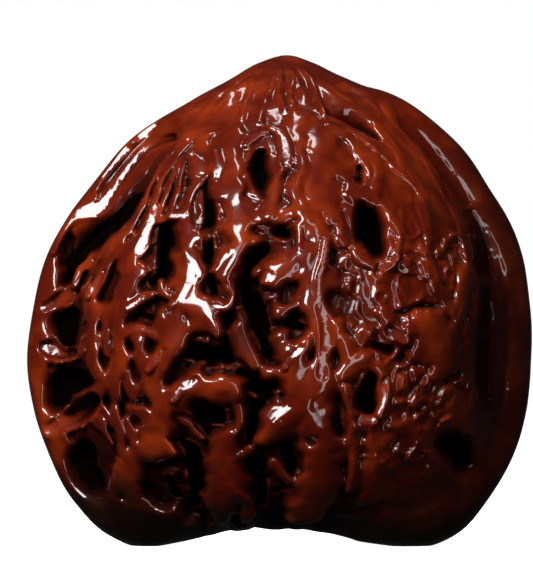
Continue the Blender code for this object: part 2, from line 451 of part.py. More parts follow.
def nut_surface(directions):
    """The finished surface's point for each unit direction from the core, in millimetres.

    Ridges and pits are sunk straight back towards the seam, and towards the core near the two ends.
    """
    elevations = np.arcsin(np.clip(directions[:, 2], -1, 1))
    body, proud, on_rim = worn_form(directions)
    surface = directions * body[:, None]
    off_seam = np.abs(surface[:, 1])
    depth = relief(surface, elevations) * (1 - on_rim)
    outward = (proud - 0.12 * swell(surface, RIM_WAVES)) * on_rim - end_ribs(directions) * (1 - on_rim)
    for radius, floor, line in courses(RIM_DENTS):
        outward -= floor * (1 - smoothstep(0.3, 1.3, distance_to_course(surface, line) / radius))

    degrees = np.degrees(elevations)
    straight_back = 1 - smoothstep(50, 72, degrees) - smoothstep(-35, -72, degrees)
    straight_back *= smoothstep(0.3, 2.0, off_seam)
    inward = -directions * (1 - straight_back)[:, None]
    inward[:, 1] -= np.where(surface[:, 1] > 0, straight_back, -straight_back)
    inward /= np.linalg.norm(inward, axis=1)[:, None]
    room = DEEPEST_AT_ENDS * (1 - straight_back) + np.maximum(off_seam - LEAST_RIM_HALF, 0.1) * straight_back
    sunk = np.where(depth > 0, room * (1 - np.exp(-np.maximum(depth, 0) / room)), depth)

    points = surface + directions * outward[:, None] + inward * sunk[:, None]
    points[:, 2] += CORE_HEIGHT
    return points


def shell_material():
    """Walnut shell rubbed by hand until it is deep red-brown and glossy."""
    material = bpy.data.materials.new("polished_shell")
    material.use_nodes = True
    shader = material.node_tree.nodes["Principled BSDF"]
    shader.inputs["Base Color"].default_value = (0.16, 0.028, 0.009, 1.0)
    shader.inputs["Roughness"].default_value = 0.22
    shader.inputs["Metallic"].default_value = 0.0
    return material


def set_down(points):
    """The nut at its full size, centred over the origin, with its lowest parts cut to flat feet at z = 0."""
    low, high = points.min(axis=0), points.max(axis=0)
    points *= [WIDTH, DEPTH, HEIGHT + FOOT_CUT] / (high - low)
    low, high = points.min(axis=0), points.max(axis=0)
    points -= [(low[0] + high[0]) / 2, (low[1] + high[1]) / 2, low[2] + FOOT_CUT]
    points[:, 2] = np.maximum(points[:, 2], 0.0)
    return points


def build_walnut(collection):
    bpy.ops.mesh.primitive_ico_sphere_add(subdivisions=FINE_LEVEL, radius=1.0)
    nut = bpy.context.object
    nut.name = "walnut"
    for old in list(nut.users_collection):
        old.objects.unlink(nut)
    collection.objects.link(nut)

    mesh = nut.data
    directions = np.empty(len(mesh.vertices) * 3, np.float32)
    mesh.vertices.foreach_get("co", directions)
    directions = directions.reshape(-1, 3).astype(float)
    directions /= np.linalg.norm(directions, axis=1)[:, None]
    points = set_down(nut_surface(directions)) * MM
    mesh.vertices.foreach_set("co", points.astype(np.float32).ravel())
    mesh.update()

    fewer = nut.modifiers.new("fewer_faces", "DECIMATE")
    fewer.ratio = TRIANGLES / len(mesh.polygons)
    thinned = bpy.data.meshes.new_from_object(nut.evaluated_get(bpy.context.evaluated_depsgraph_get()))
    nut.modifiers.remove(fewer)
    nut.data = thinned
    bpy.data.meshes.remove(mesh)
    foot_band = 0.03 * MM
    for vertex in thinned.vertices:
        if vertex.co.z < foot_band:
            vertex.co.z = 0.0
    thinned.shade_smooth()
    thinned.materials.append(shell_material())
    return nut


def main():
    for old in list(bpy.data.objects):
        bpy.data.objects.remove(old)
    collection = bpy.data.collections.new("walnut_in_shell")
    bpy.context.scene.collection.children.link(collection)
    build_walnut(collection)


main()
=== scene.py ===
import math

import bpy
import numpy as np
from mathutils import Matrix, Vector, noise


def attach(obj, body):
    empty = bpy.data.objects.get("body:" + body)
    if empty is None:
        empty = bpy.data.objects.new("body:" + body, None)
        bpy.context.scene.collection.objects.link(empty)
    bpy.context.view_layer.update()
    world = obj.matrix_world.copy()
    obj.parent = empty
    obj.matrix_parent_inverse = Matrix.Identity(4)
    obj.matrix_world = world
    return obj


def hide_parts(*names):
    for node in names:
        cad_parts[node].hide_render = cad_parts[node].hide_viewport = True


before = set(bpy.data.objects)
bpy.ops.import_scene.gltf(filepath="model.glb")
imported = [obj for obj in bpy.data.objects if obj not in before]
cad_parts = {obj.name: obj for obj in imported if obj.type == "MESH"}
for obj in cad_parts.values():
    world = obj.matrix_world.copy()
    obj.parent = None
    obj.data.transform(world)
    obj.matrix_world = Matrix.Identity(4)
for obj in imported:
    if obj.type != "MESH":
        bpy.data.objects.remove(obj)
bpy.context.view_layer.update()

MM = 0.001

# The shell is grown in one piece, two halves joined by a thick raised rim, and set on its base with the tip
# up. It is hard wood, rubbed in the hand for years until the worn tops of its ridges are deep red-brown and
# glossy as lacquer. The pits between them are coloured near black, partly for the dark dust they hold and
# partly as painted shade. Sizes are in millimetres.
WIDTH = 45.0
HEIGHT = 43.7
DEPTH = 40.0
CORE_HEIGHT = 19.0
RIM_PROUD = 2.2
RIM_HALF_THICKNESS = 3.4
RIM_WIDER_AT_BASE = 1.8
FOOT_CUT = 0.18

# The relief, as millimetres below the worn form. The ground between the ridges is deepest low on the left.
GROUND = 2.1
GROUND_HIGHER_UP = 1.7
GROUND_ON_RIGHT = 0.6
LUMP_RISE = 1.1
LUMP_RISE_ON_RIGHT = 0.7
RIDGELET = 0.25
RIDGELET_HALF_WIDTH = 0.13
RIDGE_BLEND = 0.32
RIDGE_ROUND, RIDGE_STEEP = 0.28, 0.30
LEAST_RIM_HALF = 1.3
DEEPEST_AT_ENDS = 6.0
TIP_RIB = 0.3
BASE_RIB = 0.5
RIBS_ROUND = 17
DUST_AND_SHADE_BELOW = 1.9
FACES = 195000

# The irregularities, as (size of a lump in millimetres, seed).
LUMPS = (1.7, 2.1)
BUMPS = (3.1, 9.4)
KNOBS = (1.0, 4.3)
RIPPLES = (0.62, 6.6)
RIDGELETS = (1.7, 11.0)
PEBBLES, CRUMBS = (2.3, 3.7), (1.8, 8.2)
RIM_WAVES = (4.0, 7.7)
WANDER_BROAD, WANDER_FINE = (2.6, 5.3), (1.1, 5.3)
WANDER_BROAD_BY, WANDER_FINE_BY = 0.28, 0.10

# The rim seen from the front, as (x, z) in millimetres, anticlockwise from the right-hand side.
RIM = [
    (22.5, 17.5), (22.2, 23.5), (21.0, 28.0), (18.9, 31.7), (15.9, 35.9), (13.0, 38.4), (9.4, 40.5),
    (7.4, 41.0), (5.2, 41.9), (3.0, 43.0), (0.6, 43.7), (-1.8, 43.0), (-4.0, 41.7), (-7.5, 39.9),
    (-10.8, 38.0), (-13.9, 35.6), (-16.3, 32.7), (-19.1, 29.0), (-20.9, 25.5), (-22.0, 21.0),
    (-22.5, 16.0), (-22.0, 12.5), (-20.4, 7.7), (-18.3, 4.0), (-15.1, 1.0), (-12.2, 0.0),
    (-9.6, 0.5), (-6.8, 1.8), (-3.0, 3.0), (0.5, 3.3), (3.8, 2.4), (7.2, 0.9), (10.3, 0.1), (13.2, 0.1),
    (16.0, 1.3), (18.6, 4.1), (20.6, 7.4), (22.0, 11.8),
]

# The smooth band inside the rim's outline, as (degrees anticlockwise from +X, width) seen from the front.
SMOOTH_BAND = [
    (-180, 2.0), (-165, 2.0), (-150, 2.4), (-135, 3.6), (-121, 4.2), (-106, -3.0), (-76, -3.0), (-60, 3.6),
    (-45, 3.4), (-30, 2.4), (-10, 2.0), (20, 2.0), (35, 3.0), (50, 3.6), (66, 3.4), (80, 1.8), (100, 1.8),
    (112, 3.0), (128, 4.4), (140, 5.0), (150, 2.6), (160, 2.2), (180, 2.0),
]

# The belly seen from the side, as (distance from the seam, z), from under the tip down to the hollow base.
BELLY = [
    (3.4, 42.3), (7.2, 40.2), (11.4, 37.0), (15.4, 32.2), (18.4, 26.2), (19.9, 20.0), (19.3, 13.4),
    (17.0, 7.9), (13.4, 4.0), (9.2, 1.9), (4.6, 2.2),
]

# Ridges on the front, each as (depth of the top below the worn form, course as (x, z, half width)).
TIP_FAN = [
    (0.0, [(-0.4, 42.6, .25), (-0.8, 40.8, .30), (-1.3, 39.2, .35), (-1.7, 37.8, .35)]),
    (0.0, [(-2.2, 42.4, .25), (-2.7, 40.6, .30), (-3.1, 39.2, .35), (-3.3, 38.0, .30)]),
    (0.0, [(-3.4, 41.8, .30), (-4.6, 40.2, .35), (-5.6, 38.8, .35)]),
    (0.0, [(-4.6, 41.0, .50), (-6.4, 39.4, .60), (-8.0, 38.2, .60), (-9.4, 37.4, .50)]),
    (0.0, [(0.1, 42.6, .25), (0.0, 41.0, .30), (0.3, 39.8, .30), (0.6, 38.6, .30)]),
    (0.0, [(0.9, 42.6, .25), (1.0, 41.0, .30), (1.3, 39.6, .30)]),
    (0.0, [(2.0, 42.6, .30), (3.1, 40.8, .30), (3.7, 39.4, .30), (4.1, 38.2, .30)]),
    (0.0, [(3.2, 42.2, .35), (4.8, 40.7, .50), (6.4, 39.6, .60)]),
    (0.0, [(5.0, 41.6, .50), (7.0, 40.4, .60), (8.3, 39.2, .50), (9.0, 38.2, .40)]),
]
SPINE = [
    (0.0, [(2.6, 37.6, 1.1), (3.4, 36.2, 1.7), (3.9, 34.6, 2.0), (4.0, 33.0, 2.0), (4.1, 31.4, 1.7),
           (4.0, 30.2, 1.5)]),
    (0.0, [(1.3, 38.4, .73), (1.5, 37.0, .73), (1.9, 35.4, .73), (2.0, 33.8, .5), (1.5, 32.4, .5), (1.3, 31.0, .73),
           (1.9, 29.6, .85)]),
    (0.0, [(-1.2, 37.2, .45), (-0.2, 36.9, .50), (0.4, 36.0, .55), (0.6, 34.9, .73), (0.5, 33.8, .55),
           (0.0, 32.8, .50), (-0.4, 31.6, .50), (-0.8, 30.4, .50), (-0.9, 29.4, .73)]),
    (0.0, [(2.4, 29.6, 1.1), (3.3, 28.4, 1.3), (3.6, 27.0, 1.6), (3.6, 25.4, 1.6), (3.2, 23.8, 1.5),
           (3.2, 22.2, 1.3), (3.7, 20.8, 1.2), (4.0, 19.4, 1.1), (3.9, 18.0, .98), (3.6, 16.6, 1.1),
           (3.6, 15.2, 1.2), (3.4, 13.8, 1.5), (3.2, 12.4, 1.6), (3.4, 11.0, 1.6)]),
    (0.1, [(4.6, 29.4, .98), (5.2, 28.0, .85), (5.6, 26.8, .5)]),
    (0.0, [(2.5, 18.2, .98), (1.7, 17.2, .98), (1.4, 16.0, 1.2), (1.6, 14.6, 1.6), (1.9, 13.2, 1.6),
           (1.4, 12.2, 1.3), (0.3, 11.4, 1.1), (-0.7, 10.6, .98), (-1.4, 9.8, .73)]),
    (0.0, [(3.6, 10.6, 1.6), (3.7, 9.0, 1.5), (3.6, 7.4, 1.6), (3.3, 5.8, 1.7), (2.9, 4.2, 1.6),
           (2.2, 2.6, 1.3)]),
    (0.0, [(2.2, 26.2, 1.1), (1.2, 25.2, 1.2), (0.2, 24.3, 1.2), (-0.6, 23.4, 1.1)]),
    (0.6, [(1.4, 21.4, .3), (0.6, 21.1, .4), (-0.1, 20.9, .65)]),
    (0.9, [(0.2, 18.6, .73), (0.3, 17.6, .5), (0.1, 16.8, .4)]),
    (0.0, [(1.9, 28.6, .4), (1.8, 27.4, .4), (1.6, 26.6, .4)]),
    (0.2, [(1.9, 30.0, .73), (0.8, 29.5, .85), (-0.4, 29.2, .85), (-1.6, 29.0, .85), (-2.8, 28.9, .85)]),
    (1.2, [(0.4, 26.0, .5), (-0.5, 25.6, .55), (-1.1, 25.2, .4)]),
    (0.7, [(-0.7, 7.9, .5), (0.0, 6.9, .5), (0.9, 6.0, .5)]),
]
BESIDE_THE_GAP = [
    (0.0, [(-4.2, 36.8, 1.2), (-4.5, 35.4, 1.6), (-4.6, 34.0, 1.5), (-4.3, 32.4, 1.5), (-4.3, 30.8, 1.3),
           (-4.0, 29.4, 1.2), (-3.6, 28.0, 1.1), (-3.4, 27.0, .98), (-4.0, 26.0, 1.1), (-4.7, 25.2, 1.1),
           (-5.2, 24.3, .85)]),
    (0.3, [(-4.3, 24.6, .73), (-4.5, 23.4, .73), (-4.0, 22.5, .5), (-4.3, 21.6, .45), (-4.9, 21.0, .4)]),
    (0.3, [(-3.0, 35.6, .5), (-2.2, 36.2, .5), (-1.2, 36.6, .5)]),
    (0.9, [(-3.4, 19.6, .73), (-3.2, 18.4, .85), (-2.8, 17.2, .73), (-2.2, 16.3, .5)]),
    (0.0, [(-9.9, 12.4, .98), (-9.1, 13.3, 1.1), (-8.1, 14.0, 1.2), (-6.8, 14.4, 1.2), (-5.5, 14.4, 1.1),
           (-4.4, 14.2, .98), (-3.8, 13.8, .73)]),
    (0.5, [(-3.9, 13.6, .5), (-3.4, 12.4, .45), (-3.4, 11.2, .4), (-3.8, 10.2, .5)]),
    (1.0, [(-9.4, 11.9, .4), (-8.4, 11.2, .5), (-7.6, 10.5, .45), (-6.9, 9.9, .4)]),
    (0.1, [(-4.4, 9.9, .98), (-4.7, 8.6, 1.2), (-4.8, 7.0, 1.3), (-4.7, 5.4, 1.5), (-5.2, 3.8, 1.3),
           (-5.3, 2.2, 1.2)]),
    (0.3, [(-4.3, 5.6, .5), (-3.3, 4.4, .73), (-2.9, 3.0, .73), (-3.6, 1.8, .73)]),
    (0.7, [(-4.0, 8.0, .4), (-3.1, 8.5, .4), (-2.5, 8.9, .4)]),
]
LEFT = [
    (0.0, [(-8.3, 36.2, .50), (-9.5, 35.0, .50), (-10.6, 33.4, .50), (-11.3, 32.0, .45), (-12.0, 30.4, .45),
           (-12.7, 29.0, .50), (-13.2, 28.0, .73)]),
    (0.0, [(-8.0, 35.7, .40), (-9.0, 34.6, .40), (-10.0, 33.2, .40), (-10.6, 32.0, .40), (-11.0, 30.6, .40),
           (-11.3, 29.4, .50), (-11.8, 28.0, .73), (-12.3, 26.6, .98)]),
    (0.1, [(-8.4, 34.6, .35), (-9.1, 33.4, .40), (-9.6, 32.2, .35), (-10.0, 31.0, .35), (-10.6, 29.4, .40)]),
    (0.0, [(-7.6, 35.4, .50), (-8.2, 34.2, .35), (-8.6, 33.0, .35), (-8.9, 31.8, .35), (-9.2, 30.6, .40),
           (-9.6, 29.2, .35)]),
    (0.0, [(-6.6, 36.2, .98), (-7.0, 34.8, 1.2), (-7.0, 33.6, 1.1), (-7.1, 32.4, .73), (-7.6, 31.2, .5),
           (-8.1, 30.0, .5), (-8.2, 28.6, .73), (-7.9, 27.2, .98), (-7.8, 25.8, .98), (-7.6, 24.6, 1.1),
           (-7.9, 23.2, 1.3), (-8.5, 21.9, 1.6), (-9.0, 20.4, 1.5), (-9.3, 18.8, 1.3), (-9.8, 17.4, 1.1),
           (-10.6, 16.2, 1.1), (-11.1, 15.0, 1.1), (-10.9, 13.8, 1.2), (-10.4, 12.6, 1.3), (-10.4, 11.2, 1.3),
           (-11.0, 10.0, 1.2), (-12.0, 8.9, 1.1), (-13.0, 7.8, 1.1), (-13.6, 6.8, .98), (-14.2, 5.8, .85),
           (-14.6, 4.9, .73)]),
    (0.1, [(-8.2, 29.6, .4), (-9.2, 29.2, .4), (-10.2, 29.0, .4), (-11.2, 29.0, .3)]),
    (0.0, [(-8.2, 22.4, 1.5), (-7.3, 21.4, 1.5), (-6.5, 20.6, 1.1), (-5.8, 19.6, .73), (-5.5, 19.0, .4)]),
    (0.0, [(-5.9, 35.8, .40), (-5.8, 34.6, .40), (-5.5, 33.2, .45), (-5.5, 32.0, .45), (-5.3, 31.0, .50)]),
    (0.0, [(-12.6, 26.8, 1.2), (-13.1, 25.4, 1.5), (-13.3, 24.0, 1.6), (-13.4, 22.6, 1.6), (-13.9, 21.2, 1.2),
           (-14.1, 19.8, 1.1), (-14.0, 18.4, 1.2), (-13.8, 17.2, 1.2), (-14.3, 16.0, 1.1), (-14.6, 14.8, .98),
           (-14.4, 13.6, .85)]),
    (0.0, [(-13.4, 28.2, .73), (-14.0, 27.4, .85), (-14.9, 26.8, .73), (-15.6, 26.0, .73), (-16.4, 25.4, .73),
           (-17.3, 24.8, .55), (-17.9, 23.9, .50), (-18.3, 23.0, .50)]),
    (0.0, [(-16.9, 22.8, .73), (-18.0, 22.6, .55), (-19.2, 22.1, .73), (-20.6, 21.5, .73)]),
    (0.0, [(-14.9, 25.6, .85), (-15.4, 24.6, .85), (-15.7, 23.6, .73), (-16.3, 22.6, .73), (-16.6, 21.6, .98),
           (-16.5, 20.2, 1.2), (-16.5, 18.8, 1.3), (-16.5, 17.4, 1.3), (-16.2, 16.3, 1.0), (-15.8, 15.5, .73)]),
    (0.1, [(-17.2, 17.4, .50), (-18.4, 17.0, .50), (-19.6, 16.9, .55), (-20.8, 17.2, .73)]),
    (0.0, [(-15.8, 13.9, .73), (-16.4, 12.9, .85), (-17.4, 12.0, .85), (-18.6, 11.3, .85), (-19.6, 10.7, .85),
           (-20.6, 10.0, .85)]),
    (0.5, [(-15.6, 24.4, 1.0), (-14.9, 25.6, 1.2), (-14.0, 26.8, 1.0)]),
    (0.7, [(-15.4, 21.0, .8), (-15.3, 19.0, .8), (-15.2, 17.2, .8)]),
    (0.5, [(-13.5, 16.4, .9), (-13.2, 14.6, .9), (-12.8, 13.4, .7)]),
    (0.1, [(-16.7, 11.9, .73), (-16.0, 11.1, .73), (-15.3, 10.2, .5), (-14.8, 9.4, .4)]),
    (0.2, [(-15.9, 12.9, .4), (-15.2, 12.0, .45), (-14.8, 11.0, .35)]),
    (0.0, [(-14.4, 12.0, .73), (-14.1, 10.8, .73), (-13.8, 9.6, .73), (-13.7, 8.4, .73)]),
    (0.1, [(-13.2, 11.4, .45), (-12.9, 10.2, .50), (-12.7, 9.2, .50)]),
    (0.2, [(-14.1, 7.8, .5), (-14.4, 6.6, .5), (-14.8, 5.2, .5), (-14.6, 4.2, .4)]),
    (0.1, [(-12.7, 12.4, .73), (-11.9, 12.2, .85), (-11.4, 11.4, .73)]),
    (0.2, [(-13.6, 21.2, .73), (-12.8, 21.5, .5), (-12.0, 22.1, .5), (-11.3, 22.3, .4)]),
    (0.3, [(-10.5, 23.5, .45), (-10.3, 22.6, .45), (-9.6, 22.2, .50)]),
    (0.4, [(-13.8, 18.8, .73), (-12.9, 19.1, .5), (-12.2, 19.3, .5), (-11.2, 19.0, .5), (-10.4, 18.6, .5)]),
    (0.1, [(-12.5, 18.1, 1.1), (-12.3, 16.6, 1.1)]),
    (0.1, [(-14.0, 7.0, .73), (-12.8, 8.2, .85), (-11.6, 8.9, .98), (-10.2, 9.3, .85), (-9.4, 8.6, .5)]),
    (0.0, [(-13.7, 6.4, .98), (-13.1, 5.0, 1.3), (-12.2, 3.8, 1.2), (-11.6, 2.9, .85)]),
]
RIGHT = [
    (0.0, [(4.4, 37.4, .5), (5.6, 36.9, .73), (6.5, 36.0, .85), (7.1, 35.0, .85), (7.5, 34.0, .73), (8.0, 33.0, .5)]),
    (0.0, [(6.2, 37.0, .35), (7.6, 36.0, .35), (9.0, 34.7, .35), (10.4, 33.4, .35), (11.6, 32.3, .40),
           (12.6, 31.0, .40), (13.2, 29.6, .50), (13.4, 28.2, .50)]),
    (0.0, [(9.0, 37.0, .73), (9.8, 36.0, .85), (10.5, 35.0, .85), (11.2, 33.8, .73), (12.2, 32.4, .73),
           (12.9, 31.2, .73)]),
    (0.0, [(9.4, 38.6, .73), (10.6, 37.0, .73), (11.8, 35.6, .73), (12.8, 34.2, .73), (13.8, 32.6, .73),
           (14.6, 31.2, .73), (15.4, 29.8, .85), (16.2, 28.2, .85), (16.6, 26.6, .85), (16.6, 25.0, .85),
           (16.2, 23.4, .85), (16.0, 21.8, .85), (15.8, 20.4, .98)]),
    (0.0, [(6.6, 31.4, 1.1), (7.8, 31.0, .73), (8.9, 30.4, .5), (9.9, 29.2, .5), (10.6, 27.9, .5), (10.7, 26.6, .5),
           (10.2, 25.3, .5), (9.2, 24.6, .5), (8.2, 24.8, .5), (7.2, 25.4, .73), (6.6, 26.2, .73)]),
    (0.0, [(6.0, 15.6, .85), (6.9, 16.4, .98), (8.4, 16.2, .85), (9.3, 15.0, .45), (9.5, 13.6, .38),
           (9.2, 12.3, .45), (8.5, 11.2, .79), (7.6, 10.9, .85), (6.8, 11.5, .73), (6.2, 12.8, .45),
           (5.9, 14.2, .40)]),
    (-0.5, [(11.6, 19.2, 1.2), (12.8, 18.9, 2.1), (13.8, 18.0, 2.6), (14.2, 16.8, 2.3), (14.0, 15.6, 1.5)]),
    (0.0, [(12.4, 19.4, .85), (11.0, 19.2, .73), (9.9, 19.6, .73), (9.2, 20.8, .73)]),
    (0.0, [(8.2, 10.8, .98), (8.7, 9.2, 1.3), (8.8, 7.4, 1.3), (8.4, 5.8, 1.2), (7.8, 4.4, .98)]),
    (0.2, [(6.6, 10.6, .5), (6.6, 9.0, .5), (6.5, 7.2, .5), (6.3, 5.4, .5)]),
    (0.1, [(12.6, 30.2, .73), (13.0, 28.4, .73), (13.0, 26.6, .73), (13.4, 25.0, .73), (13.8, 23.4, .73),
           (14.6, 22.0, .73)]),
    (0.0, [(14.4, 26.4, .3), (14.9, 27.4, .3), (15.7, 27.7, .3), (16.3, 26.9, .3), (16.5, 25.6, .3)]),
    (1.4, [(16.3, 24.8, .85), (17.4, 23.8, .85), (18.6, 23.2, .85), (19.6, 23.0, .85)]),
    (1.6, [(15.8, 18.8, .85), (17.0, 18.8, .73), (18.4, 19.1, .73), (19.8, 19.0, .85)]),
    (0.3, [(15.2, 12.8, .98), (16.4, 11.2, .98), (17.4, 10.4, .98), (18.8, 10.6, .98)]),
    (0.1, [(8.3, 34.4, .73), (8.8, 32.8, .73), (8.6, 31.2, .5)]),
    (0.1, [(9.6, 10.8, .73), (11.4, 10.8, .73), (12.6, 10.0, .73), (12.2, 9.0, .5), (11.4, 8.2, .5)]),
    (0.1, [(5.0, 19.8, .73), (5.6, 18.4, .73), (6.4, 17.2, .73), (7.6, 16.8, .5)]),
]

# Pits on the front, each as a course of (x, z, radius, depth of the floor below the worn form). Those beside
# the rim are cut straight back and seen at their full size from the front.
RIM_PITS = [
    [(-8.8, 36.0, .35, 0.4), (-10.0, 35.0, .8, 0.9), (-11.2, 33.6, 1.1, 1.4), (-12.1, 32.0, 1.3, 2.0),
     (-12.9, 30.4, 1.4, 3.2), (-14.2, 28.6, 1.5, 5.5), (-15.8, 27.4, 1.7, 7.0), (-17.0, 26.2, 1.9, 7.5),
     (-17.9, 25.0, 1.5, 7.5), (-18.5, 23.6, 1.0, 7.0)],
    [(-18.6, 27.2, .9, 6.5), (-18.9, 25.4, .9, 7.0)],
    [(-18.4, 20.6, .9, 6.5), (-19.0, 19.8, 1.4, 7.5), (-18.9, 18.6, 1.1, 7.0)],
    [(-16.8, 15.0, .9, 6.5), (-18.2, 14.8, 1.5, 7.5), (-19.3, 14.6, 1.5, 7.5), (-19.7, 13.0, 1.3, 7.0)],
    [(-17.2, 8.2, 1.6, 7.5), (-17.6, 7.0, 1.8, 7.5), (-16.6, 5.8, 1.6, 7.0)],
    [(10.2, 38.0, .5, 0.3), (12.4, 36.3, 1.0, 0.8), (13.9, 34.4, 1.2, 1.0), (15.4, 32.4, 1.2, 1.0),
     (16.6, 30.6, 1.1, 1.2)],
    [(17.0, 29.6, .9, 1.2), (17.8, 27.4, 1.2, 1.8), (18.2, 25.2, 1.3, 2.0), (18.4, 22.6, 1.2, 1.6),
     (18.3, 20.4, 1.3, 2.0), (18.1, 17.6, 1.4, 1.8), (18.1, 15.0, 1.3, 1.8), (18.4, 12.4, .9, 1.2)],
    [(14.6, 9.4, 1.5, 2.6), (15.6, 8.8, 1.8, 3.4), (16.2, 7.6, 1.4, 2.6)],
]
PITS = [
    [(-1.4, 26.2, .9, 4.2), (-2.2, 25.2, 1.1, 4.6), (-2.4, 23.6, 1.2, 4.8), (-2.4, 22.0, 1.3, 4.8),
     (-1.8, 20.2, 1.2, 4.8), (-1.2, 18.6, 1.0, 4.6), (-0.9, 17.2, .8, 4.4)],
    [(-0.2, 27.7, .8, 4.4), (0.5, 27.6, .8, 4.4)],
    [(-1.6, 34.8, .8, 2.6), (-1.7, 33.5, 1.1, 3.4), (-1.5, 32.2, 1.0, 3.4), (-1.3, 31.2, .6, 2.8)],
    [(0.8, 19.9, .8, 4.0), (1.8, 19.5, .7, 3.6)],
    [(-3.4, 15.6, .7, 4.0), (-2.2, 14.6, 1.2, 4.8), (-0.8, 14.2, 1.3, 4.8), (-0.4, 13.4, .9, 4.4)],
    [(-1.8, 12.6, .9, 4.4), (-2.3, 10.8, .9, 4.4), (-2.4, 9.0, .8, 4.4)],
    [(-2.0, 8.0, 1.2, 4.6), (-2.0, 5.8, 1.3, 4.6), (-1.6, 3.6, 1.1, 4.0)],
    [(0.4, 8.8, .9, 3.8), (1.0, 7.8, 1.0, 3.6), (0.8, 6.6, .7, 3.0)],
    [(0.4, 4.8, .7, 2.8), (0.6, 3.0, .6, 2.4)],
    [(-4.6, 20.4, .6, 3.8), (-4.5, 18.6, .9, 4.4), (-4.4, 17.0, 1.0, 4.6)],
    [(-10.0, 28.2, 1.0, 4.2), (-9.9, 26.8, 1.2, 4.8), (-9.9, 25.4, 1.2, 4.8), (-10.3, 24.2, 1.0, 4.4),
     (-11.2, 23.4, .7, 3.8)],
    [(-8.1, 33.2, .25, 1.4), (-8.0, 32.2, .35, 1.8), (-8.1, 31.4, .25, 1.4)],
    [(-9.2, 32.6, .25, 1.0), (-9.6, 31.4, .35, 1.5), (-9.9, 30.2, .35, 1.6)],
    [(-6.4, 32.6, .3, 1.6), (-6.4, 31.4, .5, 2.6), (-6.2, 30.2, .6, 3.2), (-6.1, 29.0, .7, 3.8),
     (-6.4, 28.0, .7, 4.0)],
    [(-6.3, 27.0, .6, 3.8), (-6.1, 25.8, .7, 4.0), (-6.2, 24.6, .6, 3.8), (-5.9, 23.2, .6, 4.0),
     (-5.6, 22.2, .6, 4.0)],
    [(-13.0, 20.3, .5, 1.6), (-12.2, 20.5, .7, 2.2), (-11.0, 20.4, .7, 2.6)],
    [(-11.6, 16.4, .4, 1.8), (-11.4, 17.0, .5, 2.0)],
    [(-13.4, 13.2, .7, 2.4), (-12.4, 13.6, .5, 2.2)],
    [(12.0, 36.4, .5, .5), (13.3, 34.4, .8, .8), (14.5, 32.3, .8, .9), (15.3, 30.4, .6, .6)],
    [(9.4, 36.2, .4, .6), (10.9, 34.4, .45, .8), (12.1, 32.6, .35, .7), (12.9, 30.6, .3, .5)],
    [(-7.8, 17.6, 1.1, 4.8), (-6.4, 17.2, 1.4, 5.0), (-5.2, 17.2, 1.1, 4.8)],
    [(-7.8, 12.6, .6, 3.8), (-6.6, 12.0, 1.0, 4.8), (-5.2, 11.8, 1.0, 4.8)],
    [(-8.6, 9.6, .6, 3.8), (-7.6, 8.6, 1.1, 4.8), (-7.2, 6.8, 1.3, 4.8), (-7.2, 5.0, 1.2, 4.6),
     (-7.8, 3.4, .9, 3.8)],
    [(-9.6, 6.2, .8, 3.4), (-9.2, 4.6, .9, 3.4)],
    [(7.5, 29.7, 1.0, 4.0), (7.9, 28.6, 1.5, 4.8), (8.0, 27.4, 1.5, 4.8), (8.5, 26.4, 1.0, 4.0)],
    [(7.9, 14.8, .8, 3.8), (7.5, 13.6, 1.1, 4.2), (7.9, 12.4, .7, 3.6)],
    [(4.8, 38.6, .6, 1.2), (6.2, 38.2, .9, 2.0), (7.6, 37.2, .9, 2.4), (8.6, 36.2, .5, 1.8)],
    [(7.0, 33.4, .4, 2.0), (7.0, 32.4, .5, 2.4)],
    [(10.8, 16.9, .7, 2.4), (12.0, 16.7, .7, 2.4)],
    [(8.4, 18.0, .7, 1.6), (9.6, 17.6, .7, 1.9)],
    [(13.0, 16.0, .6, 1.4), (14.4, 15.0, .6, 1.4), (15.8, 15.4, .6, 1.4)],
    [(10.4, 20.9, .5, 1.2), (12.4, 21.5, .5, 1.3), (14.6, 21.2, .6, 1.3), (16.2, 20.2, .6, 1.3)],
    [(5.3, 12.4, .4, 1.6), (5.4, 10.0, .6, 2.4), (5.4, 8.0, .6, 2.4), (5.4, 6.0, .6, 2.2), (5.4, 4.4, .5, 1.6)],
]

# Along the rim high up: shallow dents, each as (x, z, radius, depth), and the lip inside them, as (x, z, half
# width, height). Both are seen at their full size from the front.
RIM_DENTS = [
    [(-9.4, 37.5, .4, .3), (-10.9, 36.6, .7, .9), (-12.3, 35.5, .7, 1.2), (-13.7, 34.0, .7, 1.3),
     (-14.9, 32.5, .7, 1.3), (-15.6, 31.4, .6, 0.9)],
]
RIM_LIPS = [
    [(18.8, 27.9, .5, .3), (19.7, 26.4, .6, .4), (20.5, 24.6, .6, .3)],
]

